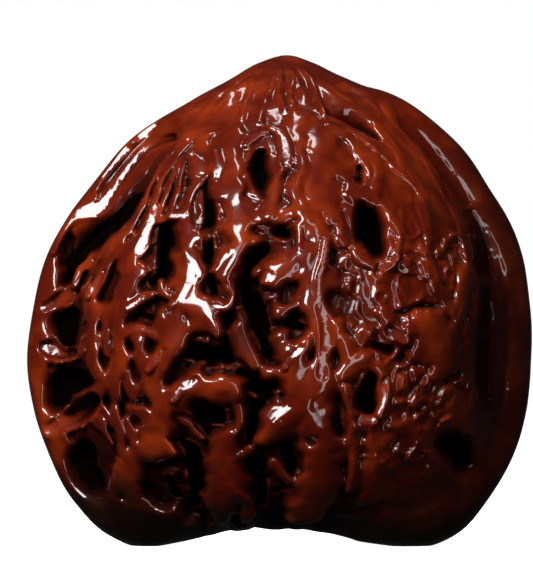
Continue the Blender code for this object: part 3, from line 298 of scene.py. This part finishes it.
# Flats rubbed on the rim, each as a course of (x, z, half width, distance off the seam). Each is level across
# to one slope: so many millimetres forwards for each millimetre to the right, and for each one upwards.
FLAT_SLOPE = (0.24, -0.32)
FLAT_UNEVEN = 0.02
FLAT_SHARE = 0.98
RIM_SHELVES = [
    [(-20.2, 26.2, .3, 3.0), (-19.5, 27.9, .45, 3.2), (-18.5, 29.3, .55, 3.2), (-17.2, 29.8, .6, 3.4),
     (-15.9, 30.2, .55, 3.5), (-14.9, 31.6, .42, 3.2), (-13.9, 33.0, .38, 3.0), (-12.9, 34.3, .38, 2.8),
     (-11.8, 35.4, .38, 2.8), (-10.6, 36.0, .32, 3.2), (-9.4, 36.3, .28, 4.4)],
    [(-20.9, 21.3, .30, 2.9), (-20.0, 21.7, .45, 3.2), (-19.1, 22.2, .60, 3.6), (-18.4, 22.7, .60, 4.0)],
    [(-20.8, 17.7, .50, 2.9), (-20.2, 17.5, .60, 3.2), (-19.2, 17.1, .40, 3.7), (-18.3, 17.3, .35, 4.4)],
    [(-20.6, 10.2, .50, 2.9), (-19.6, 10.9, .60, 3.2), (-18.4, 11.5, .70, 3.7), (-17.4, 12.2, .70, 4.3),
     (-16.6, 13.0, .60, 5.2)],
    [(-15.7, 32.9, .2, 2.3), (-14.6, 34.2, .3, 2.2), (-13.5, 35.4, .25, 2.0)],
    [(-12.6, 36.3, .2, 2.1), (-11.7, 37.0, .3, 2.0), (-10.8, 37.6, .2, 2.0)],
]

# Flats rubbed on the crests of the front, each as a course of (x, z, half width), at the crest's own height.
CREST_FLATS = [
    [(-7.7, 34.6, .40), (-7.2, 33.9, .50), (-6.9, 33.1, .45)],
    [(-9.6, 29.3, .30), (-8.4, 29.3, .35)],
    [(-10.9, 30.2, .30), (-11.3, 29.0, .40), (-11.8, 27.6, .45), (-12.3, 26.3, .50)],
    [(-8.2, 26.1, .22), (-7.7, 24.9, .35), (-7.9, 23.5, .40), (-8.6, 22.2, .35), (-9.4, 21.5, .30)],
    [(-5.6, 34.9, .25), (-5.3, 33.8, .35), (-5.4, 32.6, .30)],
    [(-4.2, 26.2, .25), (-5.0, 25.4, .30), (-5.7, 24.5, .25)],
    [(-18.1, 23.3, .30), (-17.6, 24.6, .35), (-16.6, 25.4, .30)],
    [(-16.9, 22.2, .25), (-16.2, 23.3, .30), (-15.6, 24.4, .25)],
    [(-13.4, 21.2, .25), (-12.6, 21.7, .30), (-11.9, 22.3, .25)],
    [(-11.5, 15.8, .25), (-10.8, 16.7, .35), (-10.2, 17.5, .25)],
    [(-9.3, 13.2, .30), (-8.6, 14.2, .40), (-7.3, 14.9, .35)],
    [(-0.8, 37.0, .25), (0.2, 36.4, .35), (0.6, 35.2, .45), (0.6, 34.0, .40)],
    [(-1.4, 23.5, .25), (-1.0, 24.0, .35)],
    [(0.4, 16.0, .20), (1.0, 17.0, .25), (1.9, 17.8, .25)],
    [(-0.6, 11.2, .15), (0.2, 11.9, .20), (0.9, 12.6, .20)],
    [(9.8, 19.2, .40), (11.0, 18.4, .40)],
    [(9.3, 15.0, .20), (9.2, 13.4, .30), (8.7, 11.9, .30)],
    [(8.2, 11.4, .40), (7.2, 11.5, .40)],
    [(10.4, 25.6, .20), (9.8, 24.9, .25), (8.8, 24.7, .30)],
]

# The long flat down the middle column, which faces a little to the right.
COLUMN_SLOPE = (-0.236, -0.02)
COLUMN_FLAT = [
    [(4.1, 27.0, .30), (3.9, 25.4, .35), (3.4, 23.6, .35), (3.6, 21.6, .35),
     (4.1, 20.0, .45), (4.2, 18.4, .50), (3.8, 16.8, .45), (3.7, 15.4, .40)],
]


def smoothstep(low, high, value):
    t = np.clip((value - low) / (high - low), 0.0, 1.0)
    return t * t * (3.0 - 2.0 * t)


def through_points(places, values, asked):
    """A smooth curve through the values at these places, a Hermite spline, read at each asked place."""
    slopes = np.gradient(values, places)
    span = np.clip(np.searchsorted(places, asked) - 1, 0, len(places) - 2)
    width = places[span + 1] - places[span]
    t = (asked - places[span]) / width
    rise = values[span] * (2 * t**3 - 3 * t**2 + 1) + values[span + 1] * (3 * t**2 - 2 * t**3)
    return rise + width * (slopes[span] * (t**3 - 2 * t**2 + t) + slopes[span + 1] * (t**3 - t**2))


def outline_radius(outline, angles):
    """The closed outline's distance from the core at each angle, in radians anticlockwise from +X."""
    x, z = np.array(outline).T
    places = np.arctan2(z - CORE_HEIGHT, x)
    order = np.argsort(places)
    turn = 2 * math.pi
    places = np.concatenate([places[order] - turn, places[order], places[order] + turn])
    values = np.tile(np.hypot(x, z - CORE_HEIGHT)[order], 3)
    return through_points(places, values, (angles + math.pi) % turn - math.pi)


def belly_radius(elevations):
    """The belly's distance from the core at each elevation. It meets the rim at the tip and at the base."""
    y, z = np.array(BELLY).T
    top, bottom = outline_radius(RIM, np.array([math.pi / 2, -math.pi / 2]))
    places = np.concatenate([[math.pi / 2], np.arctan2(z - CORE_HEIGHT, y), [-math.pi / 2]])[::-1]
    values = np.concatenate([[top], np.hypot(y, z - CORE_HEIGHT), [bottom]])[::-1]
    return through_points(places, values, elevations)


def rim_height(elevations):
    """How proud the rim is: it dies away towards the tip, and towards the hollow of the base."""
    degrees = np.degrees(elevations)
    return RIM_PROUD * (1 - smoothstep(45, 80, degrees)) * smoothstep(-88, -62, degrees)


def worn_form(directions):
    """The smooth form without its rim, and the rim's share of height, for unit directions from the core."""
    x, y, z = directions.T
    elevations = np.arcsin(np.clip(z, -1, 1))
    proud = rim_height(elevations)
    along_rim = np.where(x >= 0, elevations, math.pi - elevations)
    rim = outline_radius(RIM, along_rim) - proud
    belly = belly_radius(elevations)
    turn = np.arctan2(y, x)
    body = 1 / np.sqrt((np.cos(turn) / rim) ** 2 + (np.sin(turn) / belly) ** 2)
    at_base = smoothstep(-25, -58, np.degrees(elevations))
    off_seam = np.abs(y) * body / (RIM_HALF_THICKNESS * (1 + (RIM_WIDER_AT_BASE - 1) * at_base))
    return body, proud, 1 / (1 + off_seam**5)


def inside_band(seen):
    """How far each point is inside the smooth band at the rim, for its place (x, z) seen from the front."""
    x, z = seen.T
    angles = np.arctan2(z, x)
    inset = outline_radius(RIM, angles) - np.hypot(x, z)
    places, widths = np.array(SMOOTH_BAND, float).T
    return inset - np.interp(np.degrees(angles), places, widths)


def on_form(course, side):
    """The course, given as seen from the front, laid on the worn form at the front or the back."""
    points = np.array(course, float)
    near, far = np.zeros(len(points)), np.full(len(points), DEPTH / 2 + 2.0)
    for _ in range(40):
        middle = (near + far) / 2
        offset = np.stack([points[:, 0], side * middle, points[:, 1] - CORE_HEIGHT], axis=1)
        reach = np.linalg.norm(offset, axis=1)
        inside = reach < worn_form(offset / reach[:, None])[0]
        near, far = np.where(inside, middle, near), np.where(inside, far, middle)
    return np.stack([points[:, 0], side * near, points[:, 1] - CORE_HEIGHT], axis=1)


def rounded(points, steps=4):
    """The points with a smooth Catmull-Rom curve drawn through them."""
    ends = np.concatenate([[2 * points[0] - points[1]], points, [2 * points[-1] - points[-2]]])
    t = (np.arange(steps) / steps)[:, None]
    spans = []
    for a, b, c, d in zip(ends[:-3], ends[1:-2], ends[2:-1], ends[3:]):
        bend = (2 * a - 5 * b + 4 * c - d) * t**2 + (3 * b - a - 3 * c + d) * t**3
        spans.append(b + ((c - a) * t + bend) / 2)
    return np.concatenate([*spans, points[-1:]])


def reach_to(points, line):
    """How far each point is from the line, in half widths of the line there, and the line's depth there.

    Each row of the line holds a place, a half width and a depth.
    """
    axes = line.shape[1] - 2
    nearest, depth = np.full(len(points), np.inf), np.zeros(len(points))
    for start, end in zip(line[:-1], line[1:]):
        along = (end - start)[:axes]
        share = np.clip((points - start[:axes]) @ along / max(along @ along, 1e-12), 0, 1)
        there = start + share[:, None] * (end - start)
        reach = np.linalg.norm(points - there[:, :axes], axis=1) / np.maximum(there[:, axes], 0.15)
        closer = reach < nearest
        nearest[closer] = reach[closer]
        depth[closer] = there[closer, axes + 1]
    return nearest, depth


def close_to(points, line, margin):
    """Which points can be within that margin of the line."""
    places = line[:, :points.shape[1]]
    return np.linalg.norm(points - places.mean(axis=0), axis=1) < np.ptp(places, axis=0).max() + margin


def back_course(course):
    """The same course for the back half: turned round the nut, and pushed about so that it isn't a copy."""
    x, z = np.array(course).T
    return np.stack([-0.98 * x + 0.9 * np.sin(z / 4.6 + 0.8), z + 0.8 * np.sin(x / 3.7 + 1.9)], axis=1)


def ridges(group):
    """The line of each ridge in the group, at the front and at the back."""
    for top, course in group:
        rows = np.array([(*point, top) for point in course])
        yield rounded(np.column_stack([on_form(rows[:, :2], -1), rows[:, 2:]]))
        yield rounded(np.column_stack([on_form(back_course(rows[:, :2]), 1), rows[:, 2:]]))


def pits(group):
    """The line of each pit in the group, at the front and at the back."""
    for course in group:
        rows = np.array(course)
        yield rounded(np.column_stack([on_form(rows[:, :2], -1), rows[:, 2:]]))
        yield rounded(np.column_stack([on_form(back_course(rows[:, :2]), 1), rows[:, 2:]]))


def push_at(place):
    """A smooth push to three sides, each from -1 to 1. It is the same at every run, as one noise read thrice."""
    apart = (Vector((9.3, 1.5, 7.9)), Vector((1.3, 7.7, 3.6)), Vector((4.8, 2.6, 9.5)))
    return np.array([noise.noise(place + offset) for offset in apart])


def wandered(points):
    """The points pushed about by noise, so that straight courses come out as crooked, knobbly ridges."""
    (broad_size, broad_seed), (fine_size, fine_seed) = WANDER_BROAD, WANDER_FINE
    moved = np.empty_like(points)
    for i, p in enumerate(points):
        broad = push_at(Vector(p) / broad_size + Vector((broad_seed, 0, 0)))
        fine = push_at(Vector(p) / fine_size + Vector((0, fine_seed, 0)))
        moved[i] = p + WANDER_BROAD_BY * broad + WANDER_FINE_BY * fine
    return moved


def swell(points, lumps):
    """Smooth noise from -1 to 1 at each point, for lumps given as (size, seed)."""
    size, seed = lumps
    return np.array([noise.noise(Vector(p) / size + Vector((0, 0, seed))) for p in points])


def pebbled(points, lumps):
    """Rounded lumps packed side by side, from 0 in the creases between them to about 1 on their tops."""
    size, seed = lumps
    share = np.empty(len(points))
    for i, p in enumerate(points):
        near = noise.voronoi(Vector(p) / size + Vector((seed, 0, 0)))[0]
        share[i] = near[1] - near[0]
    return smoothstep(0.0, 0.7, share)


def pit_wall(reach):
    """The share of a pit's depth at this reach from its middle: a flat floor, steep sides and a rounded brim."""
    return (1 - np.clip((reach - 0.3) / 1.7, 0, 1)) ** 3


def seen_from_front(group, seen, behind):
    """For each line of the group: how far each seen place is from it, and its depth there.

    The line is turned round for the back half, whose points are the ones marked as behind.
    """
    for course in group:
        rows = np.array(course)
        turned = np.column_stack([back_course(rows[:, :2]), rows[:, 2:]])
        reach, depth = reach_to(seen, rounded(rows - [0, CORE_HEIGHT, 0, 0]))
        back_reach, back_depth = reach_to(seen, rounded(turned - [0, CORE_HEIGHT, 0, 0]))
        yield np.where(behind, back_reach, reach), np.where(behind, back_depth, depth)


def ground_depth(surface, points, seen):
    """The depth of the ground between the ridges, with its pits."""
    right = smoothstep(3.0, 9.0, surface[:, 0] * -np.sign(surface[:, 1]))
    high = smoothstep(1.0, 9.0, surface[:, 2])
    shallow = (1 - 0.5 * smoothstep(7.0, 12.0, surface[:, 2])) * (1 - 0.7 * smoothstep(16.5, 20.0, surface[:, 2]))
    left_depth = GROUND + (GROUND_HIGHER_UP - GROUND) * high
    within = inside_band(seen)
    ground = (left_depth + (GROUND_ON_RIGHT - left_depth) * right) * shallow + 0.25 * swell(surface, LUMPS)
    knobbly = shallow * smoothstep(1.0, 4.0, within) * smoothstep(-0.5, 0.3, swell(surface, RIM_WAVES))
    high_right = 1 - 0.6 * right * smoothstep(6.0, 11.0, surface[:, 2])
    ground -= knobbly * high_right * (LUMP_RISE * (1 - right) * pebbled(points, PEBBLES)
                                      + LUMP_RISE_ON_RIGHT * right * pebbled(points, CRUMBS))
    ground *= smoothstep(-0.5, 0.5, within)

    for reach, floor in seen_from_front(RIM_PITS, seen, surface[:, 1] > 0):
        ground = np.maximum(ground, floor * pit_wall(reach))
    for line in pits(PITS):
        near = close_to(points, line, 3)
        reach, floor = reach_to(points[near], line)
        ground[near] = np.maximum(ground[near], floor * pit_wall(reach))

    crests = np.exp(-((swell(points, RIDGELETS) / RIDGELET_HALF_WIDTH) ** 2)) * smoothstep(1.0, 4.0, within)
    return ground - RIDGELET * shallow * crests * smoothstep(2.6, 1.4, ground)


def relief(surface, placed, elevations):
    """The depth of the real surface below the worn form, at each point of that form."""
    points = wandered(surface)
    lumps, bumps, knobs = swell(surface, LUMPS), swell(surface, BUMPS), swell(surface, KNOBS)
    calm = 0.35 + 0.65 * smoothstep(-16.0, -7.0, surface[:, 2])
    seen = (placed + points - surface)[:, [0, 2]]
    heights = np.exp(-ground_depth(surface, points, seen) / RIDGE_BLEND)
    for line in ridges(TIP_FAN + SPINE + BESIDE_THE_GAP + LEFT + RIGHT):
        near = close_to(points, line, 4)
        reach, top = reach_to(points[near], line)
        reach /= 1 + calm[near] * (0.75 * lumps[near] + 0.25 * knobs[near])
        fall = RIDGE_ROUND * reach**2 + RIDGE_STEEP * reach**4
        heights[near] += np.exp(-(top + 0.35 * bumps[near] + fall) / RIDGE_BLEND)
    depth = -RIDGE_BLEND * np.log(heights) + 0.02 * swell(surface, RIPPLES)
    degrees = np.degrees(elevations)
    return depth * (1 - smoothstep(77, 87, degrees) - smoothstep(-70, -84, degrees))


def end_ribs(directions):
    """Low ribs that run out from the tip, and from the middle of the base, in millimetres of depth."""
    x, y, z = directions.T
    turn, degrees = np.arctan2(y, x), np.degrees(np.arcsin(np.clip(z, -1, 1)))
    crooked = turn + 0.12 * np.sin(3 * turn + 1.0) + 0.0016 * np.abs(degrees) * np.sin(5 * turn)
    ribs = 0.5 + 0.5 * np.cos(RIBS_ROUND * crooked)
    at_tip = smoothstep(86, 80, degrees) * smoothstep(60, 72, degrees)
    at_base = smoothstep(-62, -72, degrees) * smoothstep(-89, -82, degrees)
    return ribs * (TIP_RIB * at_tip + BASE_RIB * at_base)


def nut_surface(directions):
    """The finished surface's point for each unit direction from the core, and its depth, in millimetres.

    Ridges and pits are sunk straight back towards the seam, and towards the core near the two ends.
    """
    elevations = np.arcsin(np.clip(directions[:, 2], -1, 1))
    body, proud, on_rim = worn_form(directions)
    surface = directions * body[:, None]
    off_seam = np.abs(surface[:, 1])
    outward = (proud - 0.12 * swell(surface, RIM_WAVES)) * on_rim - end_ribs(directions) * (1 - on_rim)
    placed = surface + directions * outward[:, None]
    depth = relief(surface, placed, elevations) * (1 - on_rim)
    seen, behind = placed[:, [0, 2]], placed[:, 1] > 0
    raised = np.zeros(len(placed))
    for reach, floor in seen_from_front(RIM_DENTS, seen, behind):
        raised -= floor * (1 - smoothstep(0.2, 1.4, reach))
    for reach, height in seen_from_front(RIM_LIPS, seen, behind):
        raised += height * np.exp(-(reach**2))

    degrees = np.degrees(elevations)
    straight_back = 1 - smoothstep(50, 72, degrees) - smoothstep(-35, -72, degrees)
    straight_back *= smoothstep(0.3, 2.0, off_seam)
    inward = -directions * (1 - straight_back)[:, None]
    inward[:, 1] -= np.where(surface[:, 1] > 0, straight_back, -straight_back)
    inward /= np.linalg.norm(inward, axis=1)[:, None]
    room = DEEPEST_AT_ENDS * (1 - straight_back) + np.maximum(off_seam - LEAST_RIM_HALF, 0.1) * straight_back
    sunk = np.where(depth > 0, room * (1 - np.exp(-np.maximum(depth, 0) / room)), depth)

    points = placed + inward * sunk[:, None]
    off_rim = smoothstep(0.4, 2.4, off_seam)
    points[:, 1] += np.where(behind, off_rim, -off_rim) * raised
    filled, rubbed = rubbed_flat(points)
    filled *= off_rim
    points[:, 1] += np.where(behind, filled, -filled)
    sunk = sunk * (1 - rubbed * off_rim)
    points[:, 2] += CORE_HEIGHT
    return points, sunk


def crest_height(points, place, side):
    """How far off the seam the ridges stand at a place seen from the front, or from the back."""
    round_it = (side * points[:, 1] > 0) & (np.hypot(*(points[:, [0, 2]] - place).T) < 0.5)
    return np.percentile(np.abs(points[round_it, 1]), 75) if round_it.any() else 0.0


def rubbed_flat(points):
    """How far each point is moved off the seam to lie in the rubbed flats, and how much of it they take up."""
    seen, more, rubbed = points[:, [0, 2]], np.zeros(len(points)), np.zeros(len(points))
    groups = ((FLAT_SLOPE, RIM_SHELVES), (FLAT_SLOPE, CREST_FLATS), (COLUMN_SLOPE, COLUMN_FLAT))
    for (across, up), course, side in [(a, b, c) for a, group in groups for b in group for c in (-1, 1)]:
        rows, slope = np.array(course), np.array([-side * across, up])
        if side > 0:
            rows[:, :2] = back_course(rows[:, :2])
        rows[:, 1] -= CORE_HEIGHT
        if rows.shape[1] < 4:
            rows = np.column_stack([rows, [crest_height(points, place, side) for place in rows[:, :2]]])
            rows[:, 3] -= rows[:, :2] @ slope
            rows[:, 3] = 0.7 * rows[:, 3].mean() + 0.3 * rows[:, 3]
        else:
            rows[:, 3] -= rows[:, :2] @ slope
        near = (side * points[:, 1] > 0) & close_to(seen, rows, 2)
        reach, level = reach_to(seen[near], rounded(rows))
        share = 1 - smoothstep(0.8, 1.6, reach)
        now = np.abs(points[near, 1]) + more[near]
        uneven = FLAT_UNEVEN * swell(points[near], KNOBS)
        more[near] += FLAT_SHARE * share * (level + uneven + seen[near] @ slope - now)
        rubbed[near] = np.maximum(rubbed[near], share)
    return more, rubbed


def set_down(points):
    """The nut at its full size, centred over the origin, with its lowest parts cut to flat feet at z = 0."""
    low, high = points.min(axis=0), points.max(axis=0)
    points *= [WIDTH, DEPTH, HEIGHT + FOOT_CUT] / (high - low)
    low, high = points.min(axis=0), points.max(axis=0)
    points -= [(low[0] + high[0]) / 2, (low[1] + high[1]) / 2, low[2] + FOOT_CUT]
    points[:, 2] = np.maximum(points[:, 2], 0.0)
    return points


def convexity(points, normals, edges, rounds):
    """How far each point stands out from the mean of the surface round it, along its normal."""
    one, two = edges.T
    count = np.bincount(edges.ravel(), minlength=len(points))[:, None]
    soft = points.copy()
    for _ in range(rounds):
        total = np.stack([np.bincount(one, soft[two, k], len(points)) + np.bincount(two, soft[one, k], len(points))
                          for k in range(3)], axis=1)
        soft = (soft + total / count) / 2
    return ((points - soft) * normals).sum(axis=1)


bpy.ops.mesh.primitive_ico_sphere_add(subdivisions=8, radius=1.0)
shell = bpy.context.object
shell.name = "polished_shell"
mesh = shell.data
directions = np.empty(len(mesh.vertices) * 3, np.float32)
mesh.vertices.foreach_get("co", directions)
directions = directions.reshape(-1, 3).astype(float)
directions /= np.linalg.norm(directions, axis=1)[:, None]
points, sunk = nut_surface(directions)
points = set_down(points) * MM
mesh.vertices.foreach_set("co", points.astype(np.float32).ravel())
mesh.update()

normals = np.empty(len(points) * 3, np.float32)
mesh.vertex_normals.foreach_get("vector", normals)
edges = np.empty(len(mesh.edges) * 2, np.int32)
mesh.edges.foreach_get("vertices", edges)
# The field worn is how far each point stands out. It lightens the tops, partly for wear and partly as painted light,
# and darkens the creases as painted shade.
worn = convexity(points / MM, normals.reshape(-1, 3), edges.reshape(-1, 2), 6)
for name, values in (("depth", sunk), ("worn", worn)):
    field = mesh.attributes.new(name, "FLOAT", "POINT")
    field.data.foreach_set("value", values.astype(np.float32))

fewer = shell.modifiers.new("fewer_faces", "DECIMATE")
fewer.ratio = FACES / len(mesh.polygons)
thinned = bpy.data.meshes.new_from_object(shell.evaluated_get(bpy.context.evaluated_depsgraph_get()))
shell.modifiers.remove(fewer)
shell.data = thinned
bpy.data.meshes.remove(mesh)
thinned.shade_smooth()

polish = bpy.data.materials.new("polished_walnut_shell")
polish.use_nodes = True
nodes, links = polish.node_tree.nodes, polish.node_tree.links
gloss = nodes["Principled BSDF"]
gloss.inputs["IOR"].default_value = 1.5
gloss.inputs["Coat Roughness"].default_value = 0.13
gloss.inputs["Specular IOR Level"].default_value = 0.03
gloss.inputs["Coat IOR"].default_value = 1.5


def field_mask(name, low, high, lowest=0.0, highest=1.0):
    """A vertex field of the mesh, as a value that runs between the two given ends."""
    field = nodes.new("ShaderNodeAttribute")
    field.attribute_name = name
    spread = nodes.new("ShaderNodeMapRange")
    spread.inputs["From Min"].default_value = low
    spread.inputs["From Max"].default_value = high
    spread.inputs["To Min"].default_value = lowest
    spread.inputs["To Max"].default_value = highest
    links.new(field.outputs["Fac"], spread.inputs["Value"])
    return spread.outputs["Result"]


place = nodes.new("ShaderNodeTexCoord").outputs["Object"]


def speckle(scale, detail, low, high, lowest=0.0, highest=1.0, roughness=0.6):
    """Cloudy noise over the surface, with its lows and highs spread between the two given ends."""
    cloud = nodes.new("ShaderNodeTexNoise")
    cloud.inputs["Scale"].default_value = scale
    cloud.inputs["Detail"].default_value = detail
    cloud.inputs["Roughness"].default_value = roughness
    links.new(place, cloud.inputs["Vector"])
    spread = nodes.new("ShaderNodeMapRange")
    spread.inputs["From Min"].default_value = low
    spread.inputs["From Max"].default_value = high
    spread.inputs["To Min"].default_value = lowest
    spread.inputs["To Max"].default_value = highest
    links.new(cloud.outputs["Fac"], spread.inputs["Value"])
    return spread.outputs["Result"]


def tinted(share, one, two, blend="MIX"):
    """One colour laid over another by a share from 0 to 1."""
    mixed = nodes.new("ShaderNodeMix")
    mixed.data_type = "RGBA"
    mixed.blend_type = blend
    mixed.clamp_factor = True
    for socket, value in ((mixed.inputs["Factor"], share), (mixed.inputs["A"], one), (mixed.inputs["B"], two)):
        if isinstance(value, (tuple, float)):
            socket.default_value = value
        else:
            links.new(value, socket)
    return mixed.outputs["Result"]


def sums(operation, one, two):
    """One step of arithmetic on two values, each a number or another node's output."""
    step = nodes.new("ShaderNodeMath")
    step.operation = operation
    for socket, value in zip(step.inputs, (one, two)):
        if isinstance(value, float):
            socket.default_value = value
        else:
            links.new(value, socket)
    return step.outputs["Value"]


# Partly painted shade: the colour runs from red-brown on the tops to near black deep in the pits, partly the darker
# patina of the hollows and partly painted shade of the recesses.
patina_and_painted_shade_by_depth = nodes.new("ShaderNodeValToRGB")
links.new(field_mask("depth", -0.3, 5.0), patina_and_painted_shade_by_depth.inputs["Fac"])
stops = patina_and_painted_shade_by_depth.color_ramp.elements
stops[0].position, stops[0].color = 0.0, (0.056, 0.0039, 0.0008, 1)
stops[1].position, stops[1].color = 1.0, (0.0008, 0.0004, 0.0003, 1)
for position, colour in ((0.13, (0.050, 0.0035, 0.0008, 1)), (0.22, (0.036, 0.0029, 0.0008, 1)),
                         (0.34, (0.017, 0.0020, 0.0008, 1)), (0.48, (0.006, 0.0011, 0.0006, 1)),
                         (0.70, (0.002, 0.0007, 0.0005, 1))):
    stops.new(position).color = colour

clouds = speckle(230.0, 2.0, 0.44, 0.70)
amber = tinted(sums("MULTIPLY", clouds, field_mask("depth", 1.2, 0.1)), patina_and_painted_shade_by_depth.outputs["Color"],
               (0.128, 0.0125, 0.0014, 1))
# Lighter convex tops: partly the real wear of rubbing, partly painted light on the tops that face the lamps.
rubbed = tinted(field_mask("worn", 0.03, 0.22, 0.0, 0.40), amber, (0.10, 0.011, 0.002, 1))
# Painted shade: the creases darken towards near black.
painted_crease_shade = tinted(field_mask("worn", -0.02, -0.20, 0.0, 0.8), rubbed, (0.006, 0.0012, 0.0006, 1))
# Painted shade: the colour darkens towards the base, reaching higher towards the sides, most on the left.
low_down = nodes.new("ShaderNodeSeparateXYZ")
links.new(place, low_down.inputs["Vector"])
either_side = sums("MULTIPLY", sums("ABSOLUTE", low_down.outputs["X"], 0.0), 0.16)
towards_rim = sums("SUBTRACT", either_side, sums("MULTIPLY", low_down.outputs["X"], 0.07))
shade = nodes.new("ShaderNodeMapRange")
for name, value in (("From Min", 4.5 * MM), ("From Max", 0.0), ("To Min", 0.0), ("To Max", 0.96)):
    shade.inputs[name].default_value = value
links.new(sums("SUBTRACT", low_down.outputs["Z"], towards_rim), shade.inputs["Value"])
painted_low_shade = tinted(shade.outputs["Result"], painted_crease_shade, (0.05, 0.28, 0.60, 1), "MULTIPLY")
# Painted shade: the colour darkens towards the right-hand side.
far_right = nodes.new("ShaderNodeMapRange")
for name, value in (("From Min", 12.0 * MM), ("From Max", 19.0 * MM), ("To Min", 0.0), ("To Max", 0.78)):
    far_right.inputs[name].default_value = value
links.new(low_down.outputs["X"], far_right.inputs["Value"])
painted_right_shade = tinted(far_right.outputs["Result"], painted_low_shade, (0.22, 0.40, 0.80, 1), "MULTIPLY")
links.new(painted_right_shade, gloss.inputs["Base Color"])

links.new(speckle(420.0, 2.0, 0.3, 0.7, 0.30, 0.50), gloss.inputs["Roughness"])
links.new(field_mask("depth", 1.6, 0.4, 0.0, 0.72), gloss.inputs["Coat Weight"])

ripples = nodes.new("ShaderNodeBump")
ripples.inputs["Strength"].default_value = 0.25
ripples.inputs["Distance"].default_value = 0.05 * MM
links.new(speckle(1500.0, 3.0, 0.2, 0.8), ripples.inputs["Height"])
links.new(ripples.outputs["Normal"], gloss.inputs["Normal"])

# The deep pits take a near-black colour with no polish: partly the dry, dark dust they hold, partly painted shade.
pit_dust_and_shade = bpy.data.materials.new("pit_dust_and_painted_shade")
pit_dust_and_shade.use_nodes = True
dry = pit_dust_and_shade.node_tree.nodes["Principled BSDF"]
dry.inputs["Roughness"].default_value = 0.9
dry.inputs["Specular IOR Level"].default_value = 0.0
grit = pit_dust_and_shade.node_tree.nodes.new("ShaderNodeTexNoise")
grit.inputs["Scale"].default_value = 900.0
dust_and_shade_colours = pit_dust_and_shade.node_tree.nodes.new("ShaderNodeValToRGB")
dust_and_shade_colours.color_ramp.elements[0].color = (0.0008, 0.0004, 0.0003, 1)
dust_and_shade_colours.color_ramp.elements[1].color = (0.0016, 0.0006, 0.0004, 1)
pit_dust_and_shade.node_tree.links.new(grit.outputs["Fac"], dust_and_shade_colours.inputs["Fac"])
pit_dust_and_shade.node_tree.links.new(dust_and_shade_colours.outputs["Color"], dry.inputs["Base Color"])

thinned.materials.append(polish)
thinned.materials.append(pit_dust_and_shade)
corners = np.empty(len(thinned.loops), np.int32)
thinned.loops.foreach_get("vertex_index", corners)
deep = np.empty(len(thinned.vertices), np.float32)
thinned.attributes["depth"].data.foreach_get("value", deep)
in_pit = (deep[corners.reshape(-1, 3)].min(axis=1) > DUST_AND_SHADE_BELOW).astype(np.int32)
thinned.polygons.foreach_set("material_index", in_pit)

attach(shell, "root")
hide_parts("walnut")

# The floor is a plain pale sheet, wide enough that its far edge is never seen. It throws no light back up,
# so the underside stays as dark as it is on a dark table.
bpy.ops.mesh.primitive_plane_add(size=6.0)
floor = bpy.context.object
floor.name = "floor"
paper = bpy.data.materials.new("pale_paper")
paper.use_nodes = True
sheet = paper.node_tree.nodes["Principled BSDF"]
sheet.inputs["Base Color"].default_value = (0.9, 0.9, 0.9, 1)
sheet.inputs["Roughness"].default_value = 1.0
sheet.inputs["Specular IOR Level"].default_value = 0.0
sheet.inputs["Emission Color"].default_value = (1, 1, 1, 1)
sheet.inputs["Emission Strength"].default_value = 1.0
floor.data.materials.append(paper)
floor.visible_glossy = False
floor.visible_diffuse = False

# The room is white where the camera sees it, and a dim grey where it lights the shell.
room = bpy.data.worlds.new("room")
bpy.context.scene.world = room
room.use_nodes = True
dim = room.node_tree.nodes["Background"]
dim.inputs["Color"].default_value = (0.02, 0.02, 0.02, 1)
white = room.node_tree.nodes.new("ShaderNodeBackground")
white.inputs["Color"].default_value = (1, 1, 1, 1)
seen = room.node_tree.nodes.new("ShaderNodeLightPath")
either = room.node_tree.nodes.new("ShaderNodeMixShader")
for out, into in ((seen.outputs["Is Camera Ray"], either.inputs["Fac"]), (dim.outputs[0], either.inputs[1]),
                  (white.outputs[0], either.inputs[2]),
                  (either.outputs[0], room.node_tree.nodes["World Output"].inputs["Surface"])):
    room.node_tree.links.new(out, into)

# Three soft lamps: a key from the upper left, a long one overhead for the tip, and a narrow one at the right.
for name, place, size, watts in (
        ("key", (-0.19, -0.33, 0.27), (0.21, 0.26), 5.6),
        ("overhead", (0.00, 0.02, 0.42), (0.06, 0.16), 0.5),
        ("side", (0.26, -0.52, 0.04), (0.11, 0.90), 2.3)):
    lamp = bpy.data.lights.new(name, "AREA")
    lamp.shape = "RECTANGLE"
    lamp.size, lamp.size_y = size
    lamp.energy = watts
    stand = bpy.data.objects.new(name, lamp)
    stand.location = place
    stand.rotation_euler = (Vector((0, 0, 0.022)) - Vector(place)).to_track_quat("-Z", "Y").to_euler()
    bpy.context.scene.collection.objects.link(stand)

# The camera looks level at the front, as the photograph does, with a long lens.
PIXELS_PER_MM = 505 / 45.0
CAMERA_HEIGHT, CAMERA_BACK = 21.5, 900.0
lens = bpy.data.cameras.new("camera")
camera = bpy.data.objects.new("camera", lens)
bpy.context.scene.collection.objects.link(camera)
bpy.context.scene.camera = camera
camera.location = (0, -CAMERA_BACK * MM, CAMERA_HEIGHT * MM)
camera.rotation_euler = (math.radians(90), 0, 0)
lens.sensor_fit = "VERTICAL"
lens.sensor_height = 36
lens.lens = 36 * CAMERA_BACK / (566 / PIXELS_PER_MM)
lens.clip_start = 0.01
lens.shift_x = (533 / 2 - 279.5) / 566
lens.shift_y = (545.5 - 566 / 2 - CAMERA_HEIGHT * PIXELS_PER_MM) / 566
bpy.context.scene.view_settings.view_transform = "Standard"
